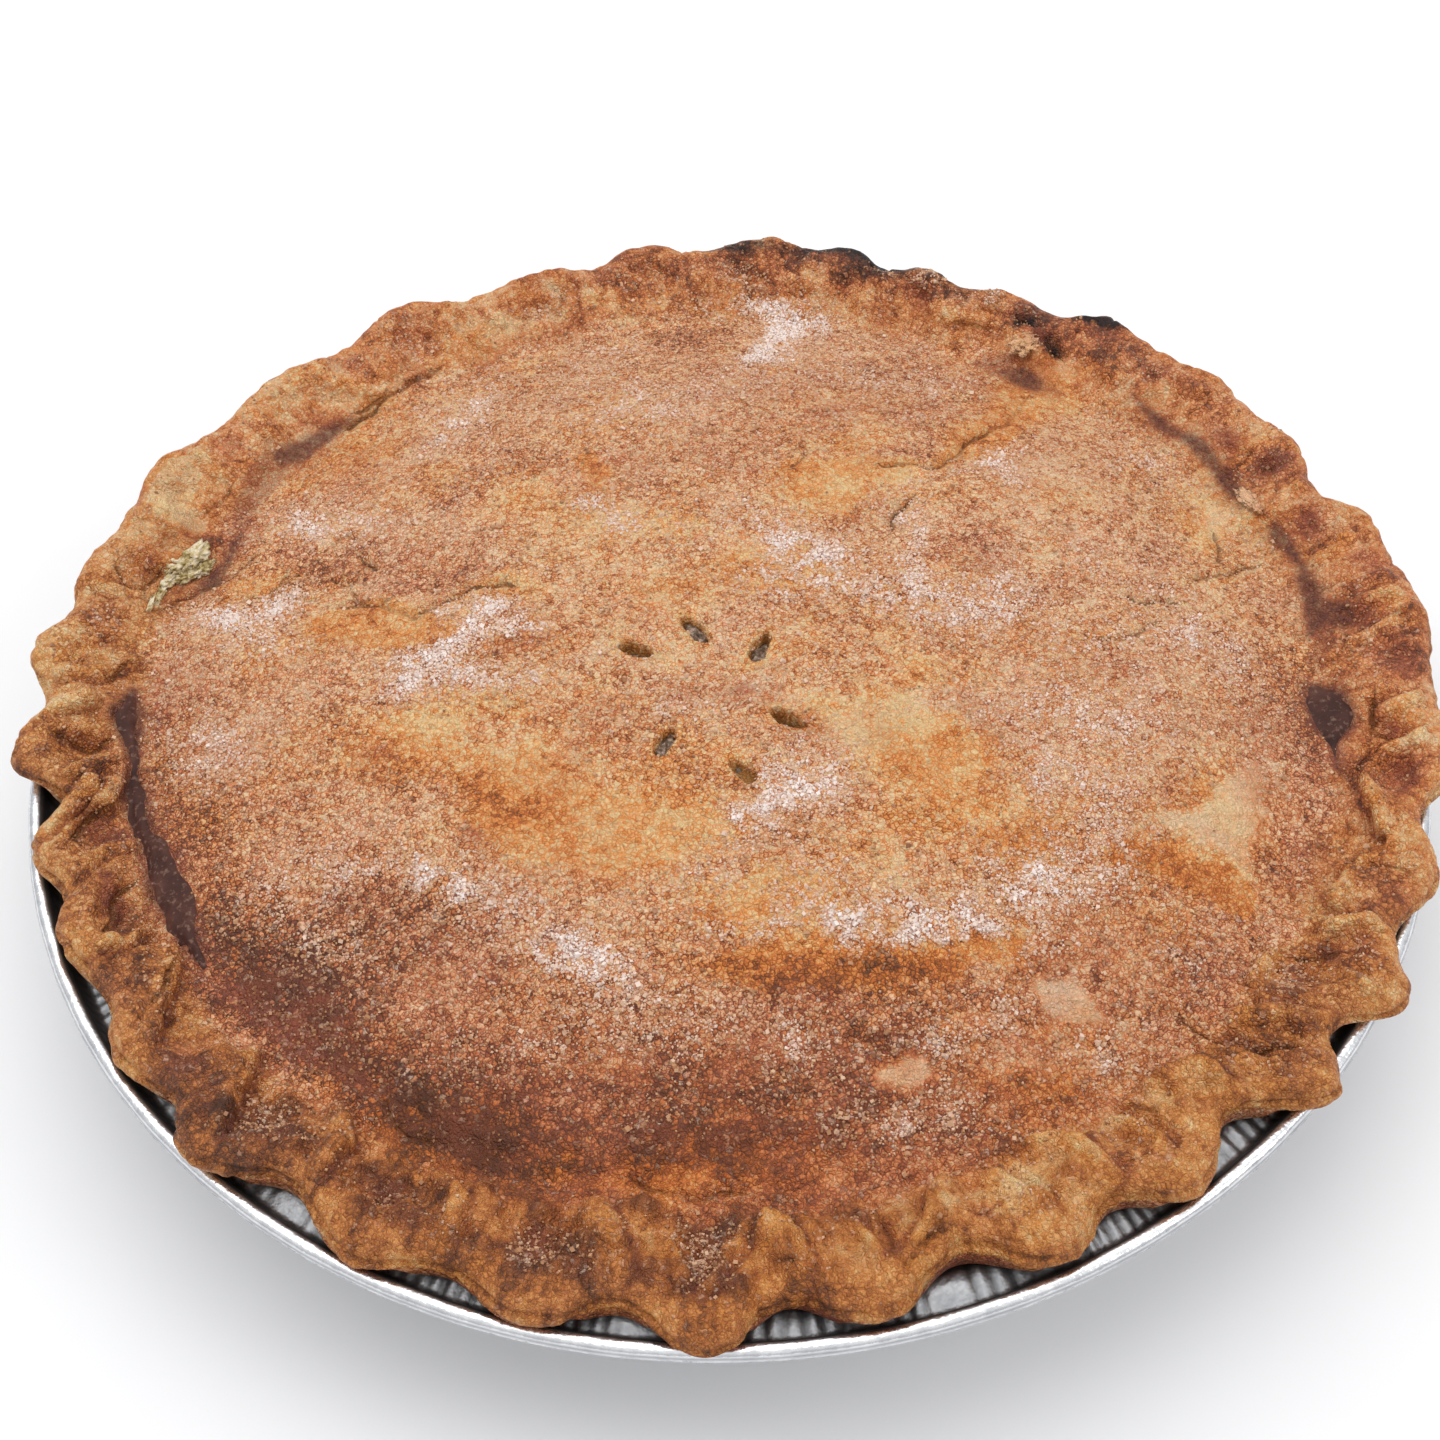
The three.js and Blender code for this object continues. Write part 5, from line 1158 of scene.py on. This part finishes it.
# Sugar crystals about 1 mm across: the corners, and the sides that join them
CUBE = (
    [(p, q, s) for p in (-0.5, 0.5) for q in (-0.5, 0.5) for s in (-0.5, 0.5)],
    [(0, 1, 3, 2), (4, 6, 7, 5), (0, 4, 5, 1), (2, 3, 7, 6), (0, 2, 6, 4), (1, 5, 7, 3)],
)
EIGHT_SIDED = (
    [(0.6, 0, 0), (-0.6, 0, 0), (0, 0.6, 0), (0, -0.6, 0), (0, 0, 0.6), (0, 0, -0.6)],
    [(0, 2, 4), (2, 1, 4), (1, 3, 4), (3, 0, 4), (2, 0, 5), (1, 2, 5), (3, 1, 5), (0, 3, 5)],
)


def loose_grains(name, crystal, seed, count, smallest, largest, power, floor):
    """Crystals of sugar on the crust, more of them where it is sugared, each knocked out of true"""
    rng = np.random.RandomState(seed)
    crust.data.calc_loop_triangles()
    corners = np.empty(3 * len(crust.data.loop_triangles), np.int32)
    crust.data.loop_triangles.foreach_get("vertices", corners)
    corners = corners.reshape(-1, 3)
    place = read_points(crust.data)
    facing = read_normals(crust.data)
    a, b, c = (place[corners[:, i]] for i in range(3))
    area = 0.5 * np.linalg.norm(np.cross(b - a, c - a), axis=1)
    sweet = sugared[corners].mean(1)
    density = sweet**power + floor * (1 - on_lip[corners].mean(1)) * (1 - 0.6 * on_rim[corners].mean(1))
    density = np.where(on_top[corners].all(1) & (facing[corners[:, 0], 2] > 0.2), density, 0)
    density *= 1 - under_pool[corners].mean(1) * 0.97
    chance = area * density
    picked = rng.choice(len(corners), count, p=chance / chance.sum())
    u, v = rng.rand(2, count)
    flip = u + v > 1
    u, v = np.where(flip, 1 - u, u), np.where(flip, 1 - v, v)
    centre = a[picked] + u[:, None] * (b - a)[picked] + v[:, None] * (c - a)[picked]
    up = facing[corners[picked, 0]]
    size = smallest + (largest - smallest) * rng.rand(count) ** 1.6
    turns = rng.normal(size=(count, 4))
    w, i, j, k = (turns / np.linalg.norm(turns, axis=1)[:, None]).T
    axes = np.stack([
        1 - 2 * (j * j + k * k), 2 * (i * j - k * w), 2 * (i * k + j * w),
        2 * (i * j + k * w), 1 - 2 * (i * i + k * k), 2 * (j * k - i * w),
        2 * (i * k - j * w), 2 * (j * k + i * w), 1 - 2 * (i * i + j * j),
    ], 1).reshape(-1, 3, 3)
    shape, sides = np.array(crystal[0], float), np.array(crystal[1])
    knocked = shape[None] * (1 + 0.35 * (rng.rand(count, len(shape), 1) - 0.5))
    sized = knocked * (size[:, None] * (0.75 + 0.4 * rng.rand(count, 3)))[:, None, :]
    body = centre[:, None] + np.einsum("nij,nvj->nvi", axes, sized) + (up * (0.2 * size)[:, None])[:, None]
    faces = (sides[None] + len(shape) * np.arange(count)[:, None, None]).reshape(-1, sides.shape[1])
    piece = make_mesh(name, body.reshape(-1, 3), faces.tolist(), smooth=False)
    tint = 0.95 - 0.85 * sweet[picked] + 0.5 * (rng.rand(count) - 0.5)
    tint += 0.4 * (baked[corners[picked, 0]] - 0.5)
    write_field(piece.data, "tint", np.repeat(np.clip(tint, 0, 1), len(shape)))
    return piece


sugar_material = sugar_grain()
grains = [
    loose_grains("sugar_coarse", CUBE, 11, 2400, 0.5, 0.72, 1.5, 0.004),
    loose_grains("sugar_medium", EIGHT_SIDED, 12, 24000, 0.42, 0.62, 1.2, 0.002),
    loose_grains("sugar_fine", EIGHT_SIDED, 13, 24000, 0.3, 0.46, 1.1, 0.002),
]
for piece in grains:
    piece.data.materials.append(sugar_material)


def surface_height(x, y):
    """Height in mm of the smooth crust at x, y"""
    r, turn = np.hypot(x, y), np.arctan2(y, x)
    bottom = groove_radius(turn)
    lip_reach, _, lip_inset, _ = crest_at(turn)
    share = np.clip((r - bottom) / (lip_reach - lip_inset - bottom), 0, 1)
    return np.where(r < bottom, dome_point(turn, r / bottom)[1], rim_point(turn, share)[1])


def film(name, lines, thickness, mesh_size=0.4):
    """A thin closed film of juice over the smooth crust along the lines, thinning out to its edge"""
    inner, middle, outer = 84, 100, 116
    radii = np.arange(inner, outer, mesh_size)
    turns = np.arange(round(2 * math.pi * middle / mesh_size)) * mesh_size / middle
    grid_r, grid_turn = (part.ravel() for part in np.meshgrid(radii, turns, indexing="ij"))
    px, py = grid_r * np.cos(grid_turn), grid_r * np.sin(grid_turn)
    close = np.flatnonzero(stripes(px, py, lines) < 2.5)
    flat = np.stack([px[close], py[close], surface_height(px[close], py[close])], 1)
    # The same noise as on the crust, so the film lies in its own hollow
    lump, turned, small, layered, tiny = (
        ripple(flat, *kind) for kind in ((9, 2), (8, 8), (4.2, 3), (5.5, 5, (1, 1, 0.5)), (2.2, 4))
    )
    moved_x = 0.7 * lump + 0.45 * small + 0.25 * tiny
    moved_y = 0.7 * turned + 0.45 * layered + 0.3 * tiny
    depth = -stripes(flat[:, 0] + 0.5 * moved_x, flat[:, 1] + 0.5 * moved_y, lines) - 0.4 * small
    wet = depth > -0.8
    index = {int(at): n for n, at in enumerate(close[wet])}
    kept = flat[wet]
    lift = np.clip(0.45 * depth[wet] - 0.25, -0.9, thickness) + 0.04 * lump[wet]
    top = []
    for at in index:
        corners = (at, at + len(turns), at + len(turns) + 1, at + 1)
        if all(corner in index for corner in corners):
            top.append(tuple(index[corner] for corner in corners))
    edges = {(a, b) for face in top for a, b in zip(face, face[1:] + face[:1])}
    count = len(kept)
    walls = [(b, a, a + count, b + count) for a, b in edges if (b, a) not in edges]
    bottom = [tuple(v + count for v in reversed(face)) for face in top]
    body = np.concatenate([kept + [0, 0, 1] * lift[:, None], kept - [0, 0, 1.2]])
    piece = make_mesh(name, body, top + bottom + sorted(walls))
    tidy = bmesh.new()
    tidy.from_mesh(piece.data)
    bmesh.ops.delete(tidy, geom=[v for v in tidy.verts if not v.link_faces], context="VERTS")
    tidy.to_mesh(piece.data)
    tidy.free()
    return piece


juice = film("baked_juice", DEEP_POOLS, 0.3)
juice.data.materials.append(baked_juice())


def blobs(name, places, seed, rough=0.25):
    """Soft uneven lumps, one for each (x, y, z, half length, half width, half height, turn in degrees)"""
    joined = bmesh.new()
    for number, (cx, cy, cz, long, across, high, turn) in enumerate(places):
        lump = bmesh.new()
        bmesh.ops.create_icosphere(lump, subdivisions=4, radius=1)
        c, s = math.cos(math.radians(turn)), math.sin(math.radians(turn))
        for v in lump.verts:
            swollen = 1 + rough * noise.fractal(v.co * 2.2 + Vector((number * 7.7, seed, 0)), 0.8, 2, 4)
            px, py, pz = v.co.x * long * swollen, v.co.y * across * swollen, v.co.z * high * swollen
            v.co = Vector((cx + px * c - py * s, cy + px * s + py * c, cz + pz)) * MM
        part = bpy.data.meshes.new("part")
        lump.to_mesh(part)
        lump.free()
        joined.from_mesh(part)
        bpy.data.meshes.remove(part)
    mesh = bpy.data.meshes.new(name)
    joined.to_mesh(mesh)
    joined.free()
    mesh.shade_smooth()
    piece = bpy.data.objects.new(name, mesh)
    bpy.context.scene.collection.objects.link(piece)
    return piece


def top_at(px, py):
    return float(surface_height(np.array([px]), np.array([py]))[0])


filling = blobs("apple_filling", [
    (px, py, top_at(px, py) - sunk - 1.3, 3.4, 1.6, 1.3, degrees) for px, py, degrees, _, sunk in VENTS
], 3, 0.35)
filling.data.materials.append(cooked_apple())

# Bits of apple and chips of crust: x, y, half length, half width, half height, turn in degrees
APPLE_BITS = (
    (-98.4, 41.6, 3.0, 2.0, 1.0, 60), (-97.0, 38.9, 2.2, 1.7, 1.0, 20), (-100.6, 39.4, 2.6, 1.6, 0.9, 40),
    (-99.4, 37.2, 2.2, 1.1, 0.8, 30), (-102.6, 36.0, 2.6, 0.9, 0.7, 55), (-104.0, 32.0, 3.2, 0.6, 0.4, 75),
    (-105.0, 27.6, 3.0, 0.45, 0.35, 80),
)
apple = blobs("torn_apple_bits", [
    (px, py, top_at(px, py) + 0.1, *sizes) for px, py, *sizes in APPLE_BITS
], 5, 0.8)
apple.data.materials.append(torn_apple())
CHIPS = (
    (99.4, 44.0, 2.6, 1.5, 0.35, 114), (100.6, 41.4, 1.4, 0.8, 0.3, 104), (62.2, 88.1, 2.6, 2.1, 1.2, 20),
)
chips = blobs("crust_chips", [
    (px, py, top_at(px, py) + 0.5, *sizes) for px, py, *sizes in CHIPS
], 9, 0.7)
for field in fields:
    amount = {"baked": 0.2, "golden": 0.2, "split": 3}.get(field, 0)
    write_field(chips.data, field, np.full(len(chips.data.vertices), amount))
chips.data.materials.append(crust_material)


def pleat_push(angle, level):
    """Depth of the pleats in mm; each groove narrows to a point as level goes from 1 to 0 at the bead"""
    phase = angle * PLEATS / (2 * np.pi) + 0.6 * np.sin(7 * angle) + 0.35 * np.sin(19 * angle + 1)
    number = np.floor(phase)
    wave = 1 - np.abs(2 * (phase - number) - 1)
    uneven = 0.65 + 0.35 * np.sin(number * 2.4) * np.sin(number * 0.77 + 1)
    for centre in SMOOTH_PANELS:
        turn = angle - math.radians(centre)
        away = np.degrees(np.arctan2(np.sin(turn), np.cos(turn)))
        uneven = uneven * (1 - np.exp(-((away / PANEL_DEGREES) ** 6)))
    return PLEAT_DEPTH * uneven * np.clip(wave - (1 - level), 0, 1)


def pan_rings():
    """The foil's section: out along the underside, round the rolled bead, and back down the inside"""
    # Radius, height and how deep the pleats are there, from 0 to 1
    wall = [
        (89, 0, 0), (91.1, 0.9, 0.2), (96, 7.2, 0.6), (102, 14.9, 0.8), (108, 22.7, 0.9), (111, 26.6, 1),
    ]
    flange = [
        (112, 27.7, 1), (113.2, 28.2, 1), (114.6, 28.0, 0.95),
        (116, 27.6, 0.85), (117.2, 27.2, 0.65), (118.2, 27.0, 0.3),
    ]
    path = [(*spot, 0) for spot in wall + flange]
    for degrees in np.linspace(-118, 192, 15):
        swept = ROLL_R - 0.3 * math.exp(-(((degrees - 8) / 9) ** 2))
        out, up = swept * math.cos(math.radians(degrees)), swept * math.sin(math.radians(degrees))
        path.append((PAN_RIM_R - ROLL_R + out, BEAD_Z + up, 0, 1))
    path += [(r - (0.18 if z > 1 else 0), z + FOIL, level, 0) for r, z, level in (wall + flange)[::-1]]
    rings = [(240, lambda t: (40 + 0 * t, 0 * t)), (480, lambda t: (80 + 0 * t, 0 * t))]
    for r, z, level, bead in path:
        count = PLEATS * 6 if r > 95 and bead == 0 else PLEATS * 3

        def place(t, r=r, z=z, level=level, bead=bead):
            push = pleat_push(t, level) if level else 0 * t
            slope = 0.85 if r < 111.5 else 0.2
            wave = 0.06 * np.sin(23 * t) * np.sin(41 * t + 1) * bead
            return r + push * slope - 0.28 * slope * (level > 0) + wave, z - push * (1 - slope) + wave

        rings.append((count, place))
    rings += [(480, lambda t: (80 + 0 * t, FOIL + 0 * t)), (240, lambda t: (40 + 0 * t, FOIL + 0 * t))]
    return rings


pan = ring_mesh("pleated_foil_pan", pan_rings(), 0.0, FOIL)
pan.data.flip_normals()
pan_x, pan_y, pan_z = read_points(pan.data).T
pan_r = np.hypot(pan_x, pan_y)
bead_up, bead_out = pan_z - BEAD_Z, pan_r - PAN_RIM_R + ROLL_R
bead_turn = np.degrees(np.arctan2(bead_up, bead_out)) % 360
on_bead = np.hypot(bead_up, bead_out) < ROLL_R + 0.3
pleat = pleat_push(np.arctan2(pan_y, pan_x), np.interp(pan_r, (111, 114, 118), (1, 1, 0.5))) / PLEAT_DEPTH
# Painted shade on the foil: mid grey over the flange, a little less towards the crust and more in the pleat
# grooves; dark in the bead's rolled seam and along a line round its outer top
shaded = np.clip(0.62 - 0.12 * ease((118.4 - pan_r) / 3) + 0.5 * pleat, 0, 0.88)
seam_shade = 0.9 * ease((bead_turn - 104) / 24) * ease((262 - bead_turn) / 20)
seam_shade += 0.5 * np.exp(-(((bead_turn - 14) / 10) ** 2))
foil_painted_shade = np.where(on_bead, seam_shade, shaded)
write_field(pan.data, "foil_painted_shade", np.clip(np.where(pan_r > 110, foil_painted_shade, 0), 0, 1))
pan.data.materials.append(pressed_foil())

for piece, slot in (
    (crust, "baked_crust"), (juice, "baked_juice"), (filling, "apple_filling"), (apple, "apple_filling"),
    (chips, "baked_crust"), (pan, "foil"), *[(grain, "sugar") for grain in grains],
):
    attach(piece, "root")
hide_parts("pie")
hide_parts("foil_pan")

# Plain pale table
TABLE_HALF = 3000
table_corners = TABLE_HALF * np.array([(-1, -1, 0), (1, -1, 0), (1, 1, 0), (-1, 1, 0)], float)
floor = make_mesh("table", table_corners, [(0, 1, 2, 3)], smooth=False)
paint, tree, surface = new_material("matt_white_board")
surface.inputs["Base Color"].default_value = linear("#F5F5F6")
surface.inputs["Roughness"].default_value = 0.9
floor.data.materials.append(paint)

# Dim low down and bright overhead, like a room with a white ceiling, so the foil has something to reflect
world = bpy.data.worlds.new("soft_room")
bpy.context.scene.world = world
world.use_nodes = True
sky = world.node_tree
height = add(sky, "SeparateXYZ", {0: add(sky, "TexCoord").outputs["Generated"]}).outputs[2]
glow = add(sky, "ValToRGB", {0: height}, [
    (0.0, (0.55, 0.55, 0.56, 1)), (0.35, (0.6, 0.6, 0.61, 1)), (0.8, (0.9, 0.9, 0.9, 1)),
]).outputs[0]
sky.links.new(glow, sky.nodes["Background"].inputs[0])


def soft_light(name, place, size, power):
    """A round area light that faces the middle of the pie"""
    lamp = bpy.data.lights.new(name, "AREA")
    lamp.shape = "DISK"
    lamp.size = size
    lamp.energy = power
    holder = bpy.data.objects.new(name, lamp)
    holder.location = place
    holder.rotation_euler = (PIE_MIDDLE - Vector(place)).to_track_quat("-Z", "Y").to_euler()
    bpy.context.scene.collection.objects.link(holder)


soft_light("overhead_softbox", (-0.2, 0.3, 1.3), 1.7, 8.5)
soft_light("side_softbox", (0.9, -0.3, 0.9), 0.5, 1.5)

# Camera at the photo's angle: 49.5 degrees above the table, 417 mm from the middle of the pie
ELEVATION = math.radians(49.512)
DISTANCE = 416.915
ROLL = math.radians(-2.205)
FOCAL_PIXELS = 2355.233
FRAME_PIXELS = 1440
SENSOR_WIDTH = 36
PRINCIPAL = (725.917, 715.235)
back = Vector((0, -math.cos(ELEVATION), math.sin(ELEVATION)))
right = Vector((1, 0, 0))
up = back.cross(right)
rolled_right = right * math.cos(ROLL) + up * math.sin(ROLL)
rolled_up = up * math.cos(ROLL) - right * math.sin(ROLL)
lens = bpy.data.cameras.new("camera")
lens.sensor_width = SENSOR_WIDTH
lens.lens = SENSOR_WIDTH * FOCAL_PIXELS / FRAME_PIXELS
lens.shift_x = -(PRINCIPAL[0] - FRAME_PIXELS / 2) / FRAME_PIXELS
lens.shift_y = -(FRAME_PIXELS / 2 - PRINCIPAL[1]) / FRAME_PIXELS
lens.clip_start = 0.01
camera = bpy.data.objects.new("camera", lens)
turned = Matrix((rolled_right, rolled_up, back)).transposed().to_4x4()
camera.matrix_world = Matrix.Translation(PIE_MIDDLE + back * DISTANCE * MM) @ turned
bpy.context.scene.collection.objects.link(camera)
bpy.context.scene.camera = camera
bpy.context.scene.view_settings.view_transform = "Standard"
